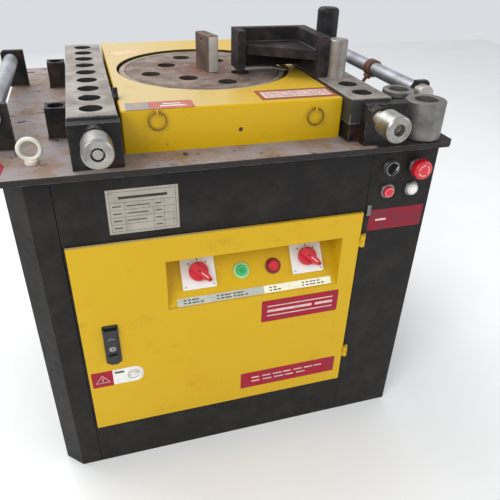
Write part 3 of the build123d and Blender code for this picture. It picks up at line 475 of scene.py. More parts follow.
BLACK = srgb(37, 34, 33)
RUST = srgb(118, 68, 44)
MATERIALS = {
    "cabinet": paint("cabinet_paint", scaled(BLACK, 0.55), srgb(96, 84, 76), 0.42, dust=srgb(92, 84, 76),
                     dust_amount=0.10, chips=0.35, varied=0.12),
    "yellow": yellow_paint(),
    "table": table_surface(),
    "fitting": paint("fitting_paint", srgb(22, 22, 24), srgb(116, 106, 96), 0.38, dust=srgb(96, 84, 74),
                     dust_amount=0.22, chips=0.8, varied=0.16, stain=RUST, stain_amount=0.25),
    "rail": rail_surface(),
    "side_roller": steel("side_roller_steel", srgb(190, 192, 198), srgb(138, 138, 142),
                         srgb(126, 104, 86), 0.12, (0.28, 0.5), 0.7, (1, 0.1, 1), srgb(228, 228, 228)),
    "rusty": steel("rusty_steel", srgb(120, 82, 62), srgb(74, 50, 40), srgb(134, 74, 46), 0.7,
                   (0.6, 0.9), 0.25, (1, 1, 1), srgb(128, 100, 84), 0.2),
    "sleeve": steel("sleeve_steel", srgb(148, 146, 141), srgb(94, 91, 87), srgb(120, 96, 76), 0.22,
                    (0.34, 0.6), 0.6, (1, 1, 0.2), srgb(198, 196, 190)),
    "stop": paint("stop_casting", srgb(30, 26, 28), srgb(98, 80, 70), 0.5, dust=srgb(92, 80, 82),
                  dust_amount=0.36, chips=0.75, varied=0.2, stain=srgb(84, 58, 48), stain_amount=0.45),
    "black_pin": paint("black_pin", srgb(22, 23, 28), srgb(118, 110, 104), 0.4, dust=srgb(90, 84, 80),
                       dust_amount=0.18, chips=0.5, varied=0.15),
    "pin": steel("pin_steel", srgb(186, 180, 174), srgb(128, 120, 112), srgb(120, 88, 68), 0.2,
                 (0.32, 0.55), 0.7, (1, 1, 0.15), srgb(222, 218, 210)),
    "former": steel("former_steel", srgb(126, 108, 94), srgb(78, 60, 48), RUST, 0.5,
                    (0.4, 0.75), 0.5, (1, 1, 0.2), srgb(196, 188, 178)),
    "bright": steel("former_end", srgb(214, 210, 204), srgb(172, 166, 158), RUST, 0.08,
                    (0.3, 0.5), 0.6, (1, 1, 0.1), srgb(232, 230, 226)),
    "cream": paint("cream_paint", srgb(228, 224, 212), srgb(140, 128, 110), 0.35, coat=0.2,
                   dust=srgb(150, 136, 118), dust_amount=0.25, chips=0.4, varied=0.05),
    "ring": steel("ring_wire", srgb(150, 124, 60), srgb(96, 76, 34), srgb(84, 60, 30), 0.3,
                  (0.35, 0.6), 0.6, (1, 1, 1), srgb(190, 160, 84)),
    "disc": disc_surface(),
    "gear": steel("gear_steel", srgb(138, 138, 140), srgb(96, 96, 100), srgb(96, 74, 52), 0.15,
                  (0.25, 0.45), 0.9, (1, 1, 1), srgb(190, 190, 190)),
    "casting": paint("casting", srgb(92, 94, 96), srgb(140, 138, 134), 0.6, dust=srgb(116, 106, 96),
                     dust_amount=0.4, chips=0.4, varied=0.14, stain=RUST, stain_amount=0.3),
    "belt": plastic("belt_rubber", srgb(34, 33, 33), 0.7, 0.1),
    "motor": paint("motor_paint", srgb(74, 92, 104), srgb(132, 132, 132), 0.42, dust=srgb(128, 120, 108),
                   dust_amount=0.35, chips=0.4),
    "box": paint("box_paint", srgb(168, 170, 168), srgb(96, 92, 88), 0.4, dust=srgb(130, 122, 110),
                 dust_amount=0.3, chips=0.3, varied=0.05),
    "zinc": steel("zinc", srgb(196, 196, 192), srgb(140, 140, 138), srgb(120, 92, 70), 0.15,
                  (0.3, 0.5), 0.85, (1, 1, 1), srgb(220, 220, 216)),
    "white": plastic("white_plastic", srgb(232, 230, 226), 0.28),
    "red": plastic("red_plastic", srgb(204, 26, 44), 0.25),
    "dark_red": plastic("dark_red_plastic", srgb(112, 14, 24), 0.3),
    "green": plastic("green_plastic", srgb(18, 160, 84), 0.25),
    "pale_green": plastic("pale_green_plastic", srgb(150, 214, 150), 0.3),
    "black": plastic("black_plastic", srgb(24, 24, 25), 0.35),
    "chrome": steel("plated_ring", srgb(150, 152, 154), srgb(104, 104, 106), srgb(120, 110, 100), 0.08,
                    (0.3, 0.5), 0.8, (1, 1, 1), srgb(196, 196, 196), 0.02),
    "name_film": printed("plate_film", srgb(166, 160, 147), srgb(148, 142, 130)),
    "ink": printed("ink", srgb(40, 38, 38), srgb(82, 78, 76), 0.5),
    "red_film": printed("red_film", srgb(158, 22, 44), srgb(142, 40, 56)),
    "dull_red_film": printed("dull_red_film", srgb(132, 30, 46), srgb(112, 44, 56), 0.45),
    "white_film": printed("white_film", srgb(230, 228, 222), srgb(206, 202, 194)),
    "silver_film": sticker_pair("silver_film", srgb(176, 178, 166), srgb(238, 234, 206), 0.055,
                                srgb(206, 204, 190)),
    "brown_film": printed("brown_film", srgb(150, 80, 42), srgb(130, 84, 56), 0.4),
    "pale_film": printed("pale_film", srgb(214, 190, 184), srgb(196, 160, 156), 0.4),
    "pink_film": sticker_pair("pink_film", srgb(142, 134, 130), srgb(176, 88, 78), -0.163,
                              srgb(196, 140, 104)),
    "faint_film": printed("faint_film", srgb(214, 178, 150), srgb(222, 198, 150), 0.4),
    "weld": steel("weld_metal", srgb(96, 90, 86), srgb(52, 48, 46), RUST, 0.4, (0.45, 0.75), 0.4),
}

turned_slots = (("left_front_roller", "y"), ("right_front_roller", "y"))
for node_name, axis_name in turned_slots:
    MATERIALS[node_name] = turned(node_name + "_steel", node_name, axis_name, srgb(188, 186, 180),
                                  srgb(128, 126, 120), srgb(132, 106, 84), 0.35)

NODE_LOOKS = {
    "cabinet": ["base_frame", "left_side_panel", "front_panel", "control_panel", "right_side_panel",
                "rear_panel"],
    "yellow": ["disc_cover", "door_panel", "control_tray", "door_hinge_pins"],
    "table": ["table_plate"],
    "fitting": ["rail_feet", "end_plates", "side_roller_brackets", "tool_sockets"],
    "rail": ["left_rail", "right_rail"],
    "pin": ["roller_axles", "guide_pin", "backstop_wear_strip"],
    "side_roller": ["left_side_roller", "right_side_roller"],
    "rusty": ["roller_ring_clamp"],
    "sleeve": ["large_sleeve", "flanged_bush"],
    "cream": ["eye_bolt"],
    "ring": ["left_pull_ring", "right_pull_ring"],
    "disc": ["turntable_disc", "main_shaft"],
    "former": ["centre_former"],
    "gear": ["main_gear", "intermediate_shaft", "input_shaft", "bearings"],
    "casting": ["gearbox_housing", "belt_pulley", "motor_rotor"],
    "belt": ["drive_belts"],
    "motor": ["motor_body"],
    "box": ["electrical_box"],
    "zinc": ["table_fasteners"],
    "stop": ["backstop_bracket"],
    "black_pin": ["fixed_pin"],
    "white": ["switch_plates", "white_button"],
    "red": ["left_switch_knob", "right_switch_knob", "stop_button", "emergency_stop", "red_button"],
    "green": ["start_button"],
    "black": ["latch_body", "latch_handle", "selector_knob", "cable_gland"],
    "chrome": ["control_bezels"],
    "name_film": ["nameplate"],
    "left_front_roller": ["left_front_roller"],
    "right_front_roller": ["right_front_roller"],
}


# ---------------------------------------------------------------- mesh helpers
def soften(obj, width, segments=2, joined=True):
    """Rounds the sharp edges of a piece and shades it smoothly; joined merges its flat triangles first."""
    weld = obj.modifiers.new("weld", "WELD")
    weld.merge_threshold = 0.01 * MM
    if joined:
        flatten = obj.modifiers.new("flatten", "DECIMATE")
        flatten.decimate_type = "DISSOLVE"
        flatten.angle_limit = math.radians(0.4)
    bevel = obj.modifiers.new("bevel", "BEVEL")
    bevel.width = width
    bevel.segments = segments
    bevel.limit_method = "ANGLE"
    bevel.angle_limit = math.radians(34)
    bevel.miter_outer = "MITER_ARC"
    normals = obj.modifiers.new("normals", "WEIGHTED_NORMAL")
    normals.weight = 60


def piece(name, verts, faces, look, body, smooth=False, rounding=0.0):
    """Makes one mesh object that rides on a CAD body."""
    mesh = bpy.data.meshes.new(name)
    mesh.from_pydata([tuple(v) for v in verts], [], faces)
    tidy = bmesh.new()
    tidy.from_mesh(mesh)
    bmesh.ops.remove_doubles(tidy, verts=tidy.verts, dist=1e-6)
    bmesh.ops.recalc_face_normals(tidy, faces=tidy.faces)
    tidy.to_mesh(mesh)
    tidy.free()
    mesh.validate()
    obj = bpy.data.objects.new(name, mesh)
    bpy.context.scene.collection.objects.link(obj)
    mesh.materials.append(MATERIALS[look])
    if smooth:
        for polygon in mesh.polygons:
            polygon.use_smooth = True
    if rounding:
        bevel = obj.modifiers.new("bevel", "BEVEL")
        bevel.width = rounding
        bevel.segments = 2
        bevel.limit_method = "ANGLE"
        bevel.angle_limit = math.radians(40)
        obj.modifiers.new("normals", "WEIGHTED_NORMAL").weight = 60
    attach(obj, body)
    return obj


def rounded_outline(width, height, radius, steps=5):
    """Corner-rounded rectangle centred on the origin."""
    points = []
    corners = [(1, -1, -90), (1, 1, 0), (-1, 1, 90), (-1, -1, 180)]
    for sx, sy, start in corners:
        cx = sx * (width / 2 - radius)
        cy = sy * (height / 2 - radius)
        for i in range(steps + 1):
            angle = math.radians(start + 90 * i / steps)
            points.append((cx + radius * math.cos(angle), cy + radius * math.sin(angle)))
    return points


def slab(name, matrix, outline, depth, look, body, rounding=0.0):
    """Flat piece of the given outline standing depth above its plane."""
    count = len(outline)
    verts = [matrix @ Vector((x, y, 0)) for x, y in outline]
    verts += [matrix @ Vector((x, y, depth)) for x, y in outline]
    faces = [list(range(count))[::-1], list(range(count, 2 * count))]
    faces += [[i, (i + 1) % count, count + (i + 1) % count, count + i] for i in range(count)]
    return piece(name, verts, faces, look, body, rounding=rounding)


def bars(name, matrix, boxes, depth, look, body):
    """Several small raised bars, each (x0, y0, x1, y1) on the plane."""
    verts, faces = [], []
    for x0, y0, x1, y1 in boxes:
        first = len(verts)
        for z in (0, depth):
            verts += [matrix @ Vector(p) for p in ((x0, y0, z), (x1, y0, z), (x1, y1, z), (x0, y1, z))]
        quads = [(3, 2, 1, 0), (4, 5, 6, 7), (0, 1, 5, 4), (1, 2, 6, 5), (2, 3, 7, 6), (3, 0, 4, 7)]
        faces += [[first + i for i in quad] for quad in quads]
    return piece(name, verts, faces, look, body)


def lathe(name, matrix, profile, look, body, steps=40, rounding=0.0):
    """Turned piece round the plane's normal; profile is a closed list of (radius, height)."""
    verts, faces = [], []
    count = len(profile)
    for i in range(steps):
        angle = TAU * i / steps
        for radius, height in profile:
            verts.append(matrix @ Vector((radius * math.cos(angle), radius * math.sin(angle), height)))
    for i in range(steps):
        near, far = i * count, (i + 1) % steps * count
        for j in range(count):
            k = (j + 1) % count
            faces.append([near + j, near + k, far + k, far + j])
    faces = [face for face in faces if len(set(face)) == 4]
    return piece(name, verts, faces, look, body, smooth=False, rounding=rounding)


def arc_band(name, matrix, radius, width, depth, start, end, look, body, steps=14):
    """Raised band along an arc, in degrees."""
    inner, outer = [], []
    for i in range(steps + 1):
        angle = math.radians(start + (end - start) * i / steps)
        inner.append(((radius - width / 2) * math.cos(angle), (radius - width / 2) * math.sin(angle)))
        outer.append(((radius + width / 2) * math.cos(angle), (radius + width / 2) * math.sin(angle)))
    return slab(name, matrix, outer + inner[::-1], depth, look, body)


def weld_bead(name, points, radius, body, closed=False):
    """Rippled bead laid along straight runs between points."""
    path = []
    corners = points + points[:1] if closed else points
    for a, b in zip(corners, corners[1:]):
        a, b = Vector(a), Vector(b)
        steps = max(2, int((b - a).length / (radius * 0.45)))
        path += [a.lerp(b, i / steps) for i in range(steps)]
    if not closed:
        path.append(Vector(points[-1]))
    verts, faces = [], []
    sides = 7
    count = len(path)
    for i, centre in enumerate(path):
        ahead = path[(i + 1) % count] if closed or i + 1 < count else centre
        behind = path[i - 1] if closed or i else centre
        along = (ahead - behind).normalized()
        up = Vector((0, 0, 1))
        side = along.cross(up).normalized()
        up = side.cross(along)
        ripple = radius * (0.82 + 0.18 * math.sin(i * 1.9) + 0.08 * math.sin(i * 0.63))
        for j in range(sides):
            angle = TAU * j / sides
            verts.append(centre + side * (ripple * math.cos(angle)) + up * (ripple * math.sin(angle)))
    rings = count if closed else count - 1
    for i in range(rings):
        near, far = i * sides, (i + 1) % count * sides
        for j in range(sides):
            k = (j + 1) % sides
            faces.append([near + j, near + k, far + k, far + j])
    if not closed:
        faces.append(list(range(sides))[::-1])
        faces.append(list(range(len(verts) - sides, len(verts))))
    return piece(name, verts, faces, "weld", body, smooth=True)


def screw(name, matrix, radius, look, body):
    """Pan-head screw with its cross recess drawn as four dark bars: painted shade in the recess."""
    profile = [(radius * 0.02, 0), (radius, 0), (radius, radius * 0.25), (radius * 0.86, radius * 0.52),
               (radius * 0.5, radius * 0.66), (radius * 0.02, radius * 0.7)]
    lathe(name, matrix, profile, look, body, steps=18)
    # The recess is drawn as dark bars on the head: painted shade in the recess.
    long, thin, top = radius * 0.5, radius * 0.11, radius * 0.62
    recess = matrix @ Matrix.Translation((0, 0, top))
    bars(name + "_cross", recess, [(-long, -thin, long, thin), (-thin, -long, thin, long)],
         radius * 0.1, "ink", body)


# ---------------------------------------------------------------- looks of the CAD nodes
def dress_nodes():
    """Gives every CAD node its material and softens the edges of the visible ones."""
    for look, names in NODE_LOOKS.items():
        for name in names:
            obj = NODES[name]
            for index in range(len(obj.data.materials)):
                obj.data.materials[index] = MATERIALS[look]
            if not obj.data.materials:
                obj.data.materials.append(MATERIALS[look])
    fine = {"left_pull_ring", "right_pull_ring", "nameplate", "main_gear", "intermediate_shaft",
            "input_shaft", "drive_belts", "motor_rotor", "belt_pulley", "bearings", "eye_bolt"}
    framed = {"front_panel", "rear_panel"}
    for name, obj in NODES.items():
        if name not in fine:
            soften(obj, 0.6 * MM, joined=name not in framed)


# ---------------------------------------------------------------- plates, films and stickers
def nameplate_print():
    """Plain table of rules and blank bars on the silver plate, and its four rivets."""
    low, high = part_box("nameplate")
    x, z = (low[0] + high[0]) / 2, (low[2] + high[2]) / 2
    width, height = high[0] - low[0], high[2] - low[2]
    at = front_plane(x, low[1], z)
    thin = 0.5 * MM
    w, h = width / 2 - 5 * MM, height / 2 - 5 * MM
    rules = [(-w, -h, w, -h + thin), (-w, h - thin, w, h), (-w, -h, -w + thin, h), (w - thin, -h, w, h)]
    body_top = h - 22 * MM
    rows = 4
    for k in range(rows + 1):
        y = -h + (body_top + h) * k / rows
        rules.append((-w, y, w, y + thin))
    for x0 in (-w * 0.56, w * 0.30, w * 0.62):
        rules.append((x0, -h, x0 + thin, body_top))
    bars("nameplate_rules", at, rules, 0.12 * MM, "ink", "cabinet")
    blocks = [(-w * 0.72, h - 15 * MM, w * 0.74, h - 9.5 * MM)]
    for k in range(rows):
        y = -h + (body_top + h) * (k + 0.5) / rows - 1.1 * MM
        blocks.append((-w * 0.92, y, -w * 0.66, y + 2.2 * MM))
        blocks.append((w * 0.36, y, w * 0.55, y + 2.2 * MM))
        if k in (1, 2, 3):
            blocks.append((-w * 0.50, y, w * (0.02 + 0.06 * k), y + 2.0 * MM))
    bars("nameplate_blocks", at, blocks, 0.12 * MM, "ink", "cabinet")
    for sx in (-1, 1):
        for sz in (-1, 1):
            rivet = at @ Matrix.Translation((sx * (width / 2 - 3 * MM), sz * (height / 2 - 3 * MM), 0))
            profile = [mm(0.05, 0), mm(1.7, 0), mm(1.5, 0.6), mm(0.9, 1.0),
                       mm(0.05, 1.1)]
            lathe(f"nameplate_rivet_{sx + 1}{sz + 1}", rivet, profile, "zinc", "cabinet", steps=14)


def door_films():
    """Red plates, blank print lines and the small pair of labels on the door."""
    face = DOOR_Y
    width, height = 190 * MM, 61 * MM
    red = front_plane(144 * MM, face, 396.5 * MM)
    slab("door_red_plate", red, rounded_outline(width, height, 4 * MM), 0.5 * MM, "red_film", "door",
         0.15 * MM)
    raised = shifted(red, 0, 0, 0.5)
    inner_w, inner_h, rule = width / 2 - 14 * MM, 15 * MM, 3.2 * MM
    shapes = [(-inner_w, -inner_h, inner_w, -inner_h + rule), (-inner_w, inner_h - rule, inner_w, inner_h)]
    shapes += [(-inner_w, -3.5 * MM, inner_w * 0.35, 3.5 * MM)]
    shapes += [(inner_w * 0.45, -3.5 * MM, inner_w, 3.5 * MM)]
    bars("door_red_plate_bars", raised, shapes, 0.15 * MM, "pale_film", "door")
    strip = front_plane(128.5 * MM, face, 187 * MM)
    slab("door_red_strip", strip, rounded_outline(251 * MM, 50 * MM, 1.5 * MM), 0.3 * MM, "red_film",
         "door")
    lines = []
    for y, length, pieces in ((4 * MM, 196 * MM, 7), (-8 * MM, 150 * MM, 5)):
        pitch = length / pieces
        for k in range(pieces):
            x0 = -98 * MM + pitch * k
            lines.append((x0, y, x0 + pitch * (0.72 + 0.06 * (k % 3)), y + 4 * MM))
    bars("door_red_strip_lines", shifted(strip, 0, 0, 0.3), lines, 0.12 * MM,
         "pale_film", "door")
    label = front_plane(-318 * MM, face, 280 * MM)
    slab("door_small_red_label", label, rounded_outline(46 * MM, 45 * MM, 1.5 * MM), 0.3 * MM,
         "red_film", "door")
    triangle = [(-15, -11, 15, -9.6), (-1, -6, 1, 3), (-1, -8.6, 1, -7.2)]
    bars("door_small_red_bars", shifted(label, 0, 0, 0.3),
         [tuple(v * MM for v in box) for box in triangle], 0.1 * MM, "pale_film", "door")
    for sign in (-1, 1):
        angle = math.atan2(20.5, 15)
        tilt = shifted(label, sign * 7.8, 0, 0.3) @ Matrix.Rotation(-sign * angle, 4, "Z")
        bars(f"door_small_red_side_{sign + 1}", tilt, [mm(-12.6, -0.7, 12.6, 0.7)],
             0.1 * MM, "pale_film", "door")
    white = front_plane(-262 * MM, face, 281 * MM)
    outline = [mm(-33, -22), mm(20, -22), mm(30, -16), mm(34, -5),
               mm(34, 8), mm(28, 18), mm(18, 22), mm(-33, 22)]
    slab("door_small_white_label", white, outline, 0.3 * MM, "white_film", "door")
    raised = shifted(white, 0, 0, 0.3)
    bars("door_small_white_bar", raised, [mm(-28, 10, -8, 15)], 0.1 * MM, "ink", "door")
    for k, radius in enumerate(mm(12.5, 8)):
        arc_band(f"door_small_white_ring_{k}", shifted(raised, 12, 0, 0), radius,
                 1.2 * MM, 0.1 * MM, 0, 330 - 90 * k, "ink", "door", 22)


def cover_films():
    """Weathered stickers on the cover: grey and pink at the left, framed at the right, faint at the back."""
    z = COVER_Z
    slab("cover_left_sticker", top_plane(-142 * MM, -280.5 * MM, z),
         rounded_outline(126 * MM, 45 * MM, 3 * MM),
         0.4 * MM, "pink_film", "cabinet", 0.12 * MM)
    bars("cover_left_sticker_bars", top_plane(-142 * MM, -280.5 * MM, z + 0.4 * MM),
         [mm(0, -9, 48, -4), mm(6, 4, 40, 8)], 0.1 * MM, "white_film", "cabinet")
    right = top_plane(137 * MM, -257 * MM, z)
    slab("cover_right_sticker", right, rounded_outline(162 * MM, 66 * MM, 2 * MM), 0.4 * MM, "brown_film",
         "cabinet", 0.12 * MM)
    raised = shifted(right, 0, 0, 0.4)
    slab("cover_right_sticker_paper", raised, rounded_outline(144 * MM, 42 * MM, 1 * MM), 0.15 * MM,
         "pale_film", "cabinet")
    lines = []
    for k in range(4):
        y = (13 - 8.5 * k) * MM
        for i in range(9):
            x0 = (-68 + 15.2 * i + 2.0 * (k % 2)) * MM
            lines.append((x0, y, x0 + (9 + 2.5 * ((i + k) % 3)) * MM, y + 2.6 * MM))
    bars("cover_right_sticker_lines", shifted(raised, 0, 0, 0.15), lines, 0.08 * MM,
         "brown_film", "cabinet")
    corners = [Vector(p) for p in ((-216, 176, 0), (-159, 223, 0), (-124, 185, 0), (-198, 144, 0))]
    centre = sum(corners, Vector()) / 4
    outline = [((p.x - centre.x) * MM * 0.92, (p.y - centre.y) * MM * 0.92) for p in corners[::-1]]
    slab("cover_faint_sticker", top_plane(centre.x * MM + 10 * MM, centre.y * MM, z), outline, 0.3 * MM,
         "faint_film", "cabinet")


def panel_films():
    """Dull red strip and its clip on the control sheet, and the label strip on the tilted tray."""
    strip = front_plane(359 * MM, PANEL_Y, 599 * MM)
    slab("panel_red_strip", strip, rounded_outline(134 * MM, 52 * MM, 2 * MM), 0.4 * MM, "dull_red_film",
         "cabinet", 0.12 * MM)
    marks = [mm(-50, -2.5, -24, 2.5)]
    bars("panel_red_strip_mark", shifted(strip, 0, 0, 0.4), marks, 0.12 * MM,
         "pale_film", "cabinet")
    clip = front_plane(288.5 * MM, PANEL_Y, 626 * MM)
    slab("panel_clip", clip, rounded_outline(9 * MM, 26 * MM, 2 * MM), 3 * MM, "gear", "cabinet", 0.6 * MM)
    label = tray_plane(38 * MM, 454.5 * MM)
    slab("tray_label_strip", label, rounded_outline(358 * MM, 17 * MM, 1.5 * MM), 0.4 * MM, "silver_film",
         "door", 0.1 * MM)
    lines = []
    for start, count in ((-165, 5), (-92, 8), (30, 3), (108, 6)):
        for row, y in enumerate((-4.6, 1.6)):
            for k in range(count - row):
                x0 = (start + 9.2 * k) * MM
                lines.append((x0, y * MM, x0 + (5.4 + 1.4 * (k % 3)) * MM, (y + 2.6) * MM))
    bars("tray_label_lines", shifted(label, 0, 0, 0.4), lines, 0.08 * MM, "ink", "door")
    table = top_plane(-437 * MM, -322 * MM, TABLE_Z)
    outline = [mm(-12, -30), mm(11, -27), mm(13, 10), mm(4, 30),
               mm(-12, 31)]
    slab("table_red_scrap", table, outline, 0.5 * MM, "red_film", "cabinet", 0.1 * MM)
    marks = [mm(-9, -18, 6, -14), mm(-9, -4, 8, 0), mm(-8, 9, 2, 13)]
    bars("table_red_scrap_bars", shifted(table, 0, 0, 0.5), marks, 0.1 * MM,
         "pale_film", "cabinet")


# ---------------------------------------------------------------- controls
def control_details():
    """Marks and rings round the switches and buttons."""
    plate_t = 6 * MM
    for side, node in (("left", "left_switch_knob"), ("right", "right_switch_knob")):
        x = {"left": -88 * MM, "right": 164 * MM}[side]
        top = tray_plane(x, SWITCH_Z, plate_t)
        for k, angle in enumerate((45, 90, 135)):
            turn = top @ Matrix.Rotation(math.radians(angle), 4, "Z")
            bars(f"{side}_switch_tick_{k}", turn, [mm(24, -1.1, 29, 1.1)], 0.12 * MM,
                 "ink", "door")
        for k, (sx, sy) in enumerate(((-1, -1), (1, -1), (-1, 1), (1, 1))):
            at = top @ Matrix.Translation((sx * 31 * MM, sy * 31 * MM, 0))
            screw(f"{side}_switch_screw_{k}", at, 2.1 * MM, "zinc", "door")
        cap = tray_plane(x, SWITCH_Z, plate_t + 22.3 * MM) @ Matrix.Rotation(math.radians(-45), 4, "Z")
        body = side + "_switch"
        bars(side + "_knob_line", cap, [mm(6, -0.8, 24, 0.8)], 0.12 * MM, "white", body)
        bars(side + "_knob_tip", cap, [mm(27, -1.6, 32.6, 1.6)], 0.15 * MM, "ink", body)
        dot = shifted(cap, 0, 0, -0.2)
        lathe(side + "_knob_screw", dot, [mm(0.05, 0), mm(2.4, 0), mm(2.4, 0.4), mm(0.05, 0.4)],
              "ink", body, 16)
    rings = (("start", 9 * MM, "pale_green"), ("stop", 83 * MM, "dark_red"))
    for name, x, look in rings:
        profile = [mm(12.35, 0), mm(18, 0), mm(18, 2.4), mm(15.6, 4.2), mm(12.35, 4.2)]
        lathe(name + "_button_ring", tray_plane(x, BUTTON_Z), profile, look, "door", 48)
        cap = tray_plane(x, BUTTON_Z, 9 * MM)
        arc_band(name + "_button_rim", cap, 9.2 * MM, 0.9 * MM, 0.15 * MM, 0, 359, look, name + "_button", 40)


def panel_control_details():
    """Collars round the panel's controls, the selector's housing and line, the emergency stop's turning marks
    and rims on the two buttons.
    """
    for node in ("selector_knob", "emergency_stop", "red_button", "white_button"):
        x, _, z = middle(node)
        if node == "selector_knob":
            x, z = SELECTOR_X, SELECTOR_Z
        base = front_plane(x, PANEL_Y, z)
        profile = [mm(16.2, 0), mm(18.2, 0), mm(18.2, 1.6), mm(17.2, 2.6), mm(16.2, 2.6)]
        lathe(node + "_collar", base, profile, "black", "cabinet", 40)
    selector = front_plane(SELECTOR_X, PANEL_Y, SELECTOR_Z)
    profile = [mm(12.5, 5), mm(16, 5), mm(15.4, 11.5), mm(12.5, 11.5)]
    lathe("selector_housing", selector, profile, "chrome", "cabinet", 44)
    low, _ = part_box("selector_knob")
    grip = plane((SELECTOR_X, low[1], SELECTOR_Z), (1, 0, 0), (0, 0, 1))
    grip = grip @ Matrix.Rotation(math.radians(-25), 4, "Z")
    bars("selector_line", grip, [mm(-0.8, 2, 0.8, 11)], 0.12 * MM, "white", "selector")
    low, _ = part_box("emergency_stop")
    x, _, z = middle("emergency_stop")
    stop = front_plane(x, low[1], z)
    for k in range(3):
        start = 100 + 120 * k
        arc_band(f"estop_arc_{k}", stop, 11.5 * MM, 2.0 * MM, 0.2 * MM, start, start + 78, "pale_film",
                 "emergency_stop")
        angle = math.radians(start)
        tip = stop @ Matrix.Translation((11.5 * MM * math.cos(angle), 11.5 * MM * math.sin(angle), 0))
        tip = tip @ Matrix.Rotation(angle, 4, "Z")
        slab(f"estop_arrow_{k}", tip, [mm(-2.8, 0), mm(0, -4.2), mm(2.8, 0)], 0.2 * MM,
             "pale_film", "emergency_stop")
    for node in ("red_button", "white_button"):
        low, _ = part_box(node)
        x, _, z = middle(node)
        look = "pale_film" if node == "red_button" else "chrome"
        arc_band(node + "_rim", front_plane(x, low[1], z), 9.4 * MM, 1.1 * MM, 0.18 * MM, 0, 359, look,
                 node, 40)


def latch_details():
    """Pointed foot, key barrel and small arrow of the door latch."""
    low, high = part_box("latch_body")
    x = (low[0] + high[0]) / 2
    foot = front_plane(x, DOOR_Y, low[2] + 1 * MM)
    outline = [mm(-16, 0), mm(-6, -7), mm(6, -7), mm(16, 0)]
    slab("latch_foot", foot, outline, 2 * MM, "black", "door", 0.4 * MM)
    face = DOOR_Y - 8 * MM
    key = front_plane(x, face, 371 * MM)
    profile = [mm(0.05, 0), mm(7, 0), mm(7, 1.2), mm(5.6, 1.8), mm(0.05, 1.8)]
    lathe("latch_key_barrel", key, profile, "zinc", "latch", 28)
    # The key slot is drawn as a dark bar: painted shade in the slot.
    bars("latch_key_slot_shade", shifted(key, 0, 0, 1.8), [mm(-0.7, -3.6, 0.7, 3.6)],
         0.1 * MM, "ink", "latch")
    arrow = front_plane(x, face, 400 * MM)
    for sign in (-1, 1):
        tilt = arrow @ Matrix.Rotation(sign * math.radians(35), 4, "Z")
        ends = sorted((0, -sign * 8 * MM))
        bars(f"latch_arrow_{sign + 1}", tilt, [(ends[0], -0.7 * MM, ends[1], 0.7 * MM)],
             0.15 * MM, "zinc", "latch")


# ---------------------------------------------------------------- welds, clips and screws
def weld_details():
    """Beads where the sockets, brackets and rail feet meet the worktable."""
    z = TABLE_Z + 0.6 * MM
    spots = [("socket_front", -330, -174, 21, 21), ("socket_rear", -335, 212, 21, 21),
             ("bush_seat", 380, -245, 27, 27)]
    for name, x, y, hx, hy in spots:
        corners = [(x - hx, y - hy), (x + hx, y - hy), (x + hx, y + hy), (x - hx, y + hy)]
        weld_bead("weld_" + name, [(px * MM, py * MM, z) for px, py in corners], 2.4 * MM, "cabinet", True)
    for side, x0, x1 in (("left", -462, -409), ("right", 408, 462)):
        reach = sorted((max(-449, min(449, x0)), max(-449, min(449, x1))))
        for k, y in enumerate((-237, -225, 225, 237)):
            weld_bead(f"weld_bracket_{side}_{k}", [(reach[0] * MM, y * MM, z), (reach[1] * MM, y * MM, z)],
                      2.0 * MM, "cabinet")
    for side in (-1, 1):
        for k, y in enumerate((-308, -34, 232)):
            x = side * 265
            corners = [(x - 40, y - 28), (x + 40, y - 28), (x + 40, y + 28), (x - 40, y + 28)]
            weld_bead(f"weld_foot_{side + 1}_{k}", [(px * MM, py * MM, z) for px, py in corners], 2.2 * MM,
                      "cabinet", True)
    shelf = 922.4 * MM
    weld_bead("weld_shelf_back", [(82 * MM, -38.6 * MM, shelf), (218 * MM, -38.6 * MM, shelf)], 2.2 * MM,
              "backstop")
    weld_bead("weld_shelf_left", [(81.6 * MM, -69 * MM, shelf), (81.6 * MM, -40 * MM, shelf)], 2.2 * MM,
              "backstop")
    weld_bead("weld_shelf_right", [(218.4 * MM, -154 * MM, shelf), (218.4 * MM, -40 * MM, shelf)], 2.2 * MM,
              "backstop")


def cover_clip():
    """Black spring clip between the left rail and the cover."""
    x0, x1 = -222 * MM, -212 * MM
    profile = [mm(-233, 0), mm(-209, 0), mm(-209, 6), mm(-214, 19), mm(-219, 20),
               mm(-224, 9), mm(-233, 6)]
    at = plane((x1, 0, COVER_Z), (0, 1, 0), (0, 0, 1))
    start = at @ Matrix.Translation((0, 0, x0 - x1))
    slab("cover_clip", start, profile, x1 - x0, "fitting", "cabinet", 0.5 * MM)


def cover_screw():
    """Sunk dark screw behind the hole in the cover's front."""
    hole = front_plane(9 * MM, COVER_FRONT_Y + 2.8 * MM, 812 * MM)
    profile = [mm(0.05, -1), mm(6.2, -1), mm(6.2, -0.2), mm(3.4, 0.2),
               mm(0.05, 0.2)]
    lathe("cover_screw", hole, profile, "ink", "cabinet", 24)


def panel_screws():
    """Pan-head screws that hold the back and side sheets."""
    back = plane((0, BACK_Y, 0), (-1, 0, 0), (0, 0, 1))
    for i, x in enumerate((-412, -140, 140, 412)):
        for j, z in enumerate((18, 384, 750)):
            if j == 1 and i in (1, 2):
                continue
            at = shifted(back, -x, z, 0)
            screw(f"rear_screw_{i}{j}", at, 4.5 * MM, "zinc", "cabinet")
    right = plane((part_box("right_side_panel")[1][0], 0, 0), (0, 1, 0), (0, 0, 1))
    left = plane((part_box("left_side_panel")[0][0], 0, 0), (0, -1, 0), (0, 0, 1))
    for i, y in enumerate((-280, 50, 375)):
        for j, z in enumerate((18, 750)):
            screw(f"right_screw_{i}{j}", shifted(right, y, z, 0), 4.5 * MM, "zinc", "cabinet")
            screw(f"left_screw_{i}{j}", shifted(left, -y, z, 0), 4.5 * MM, "zinc", "cabinet")


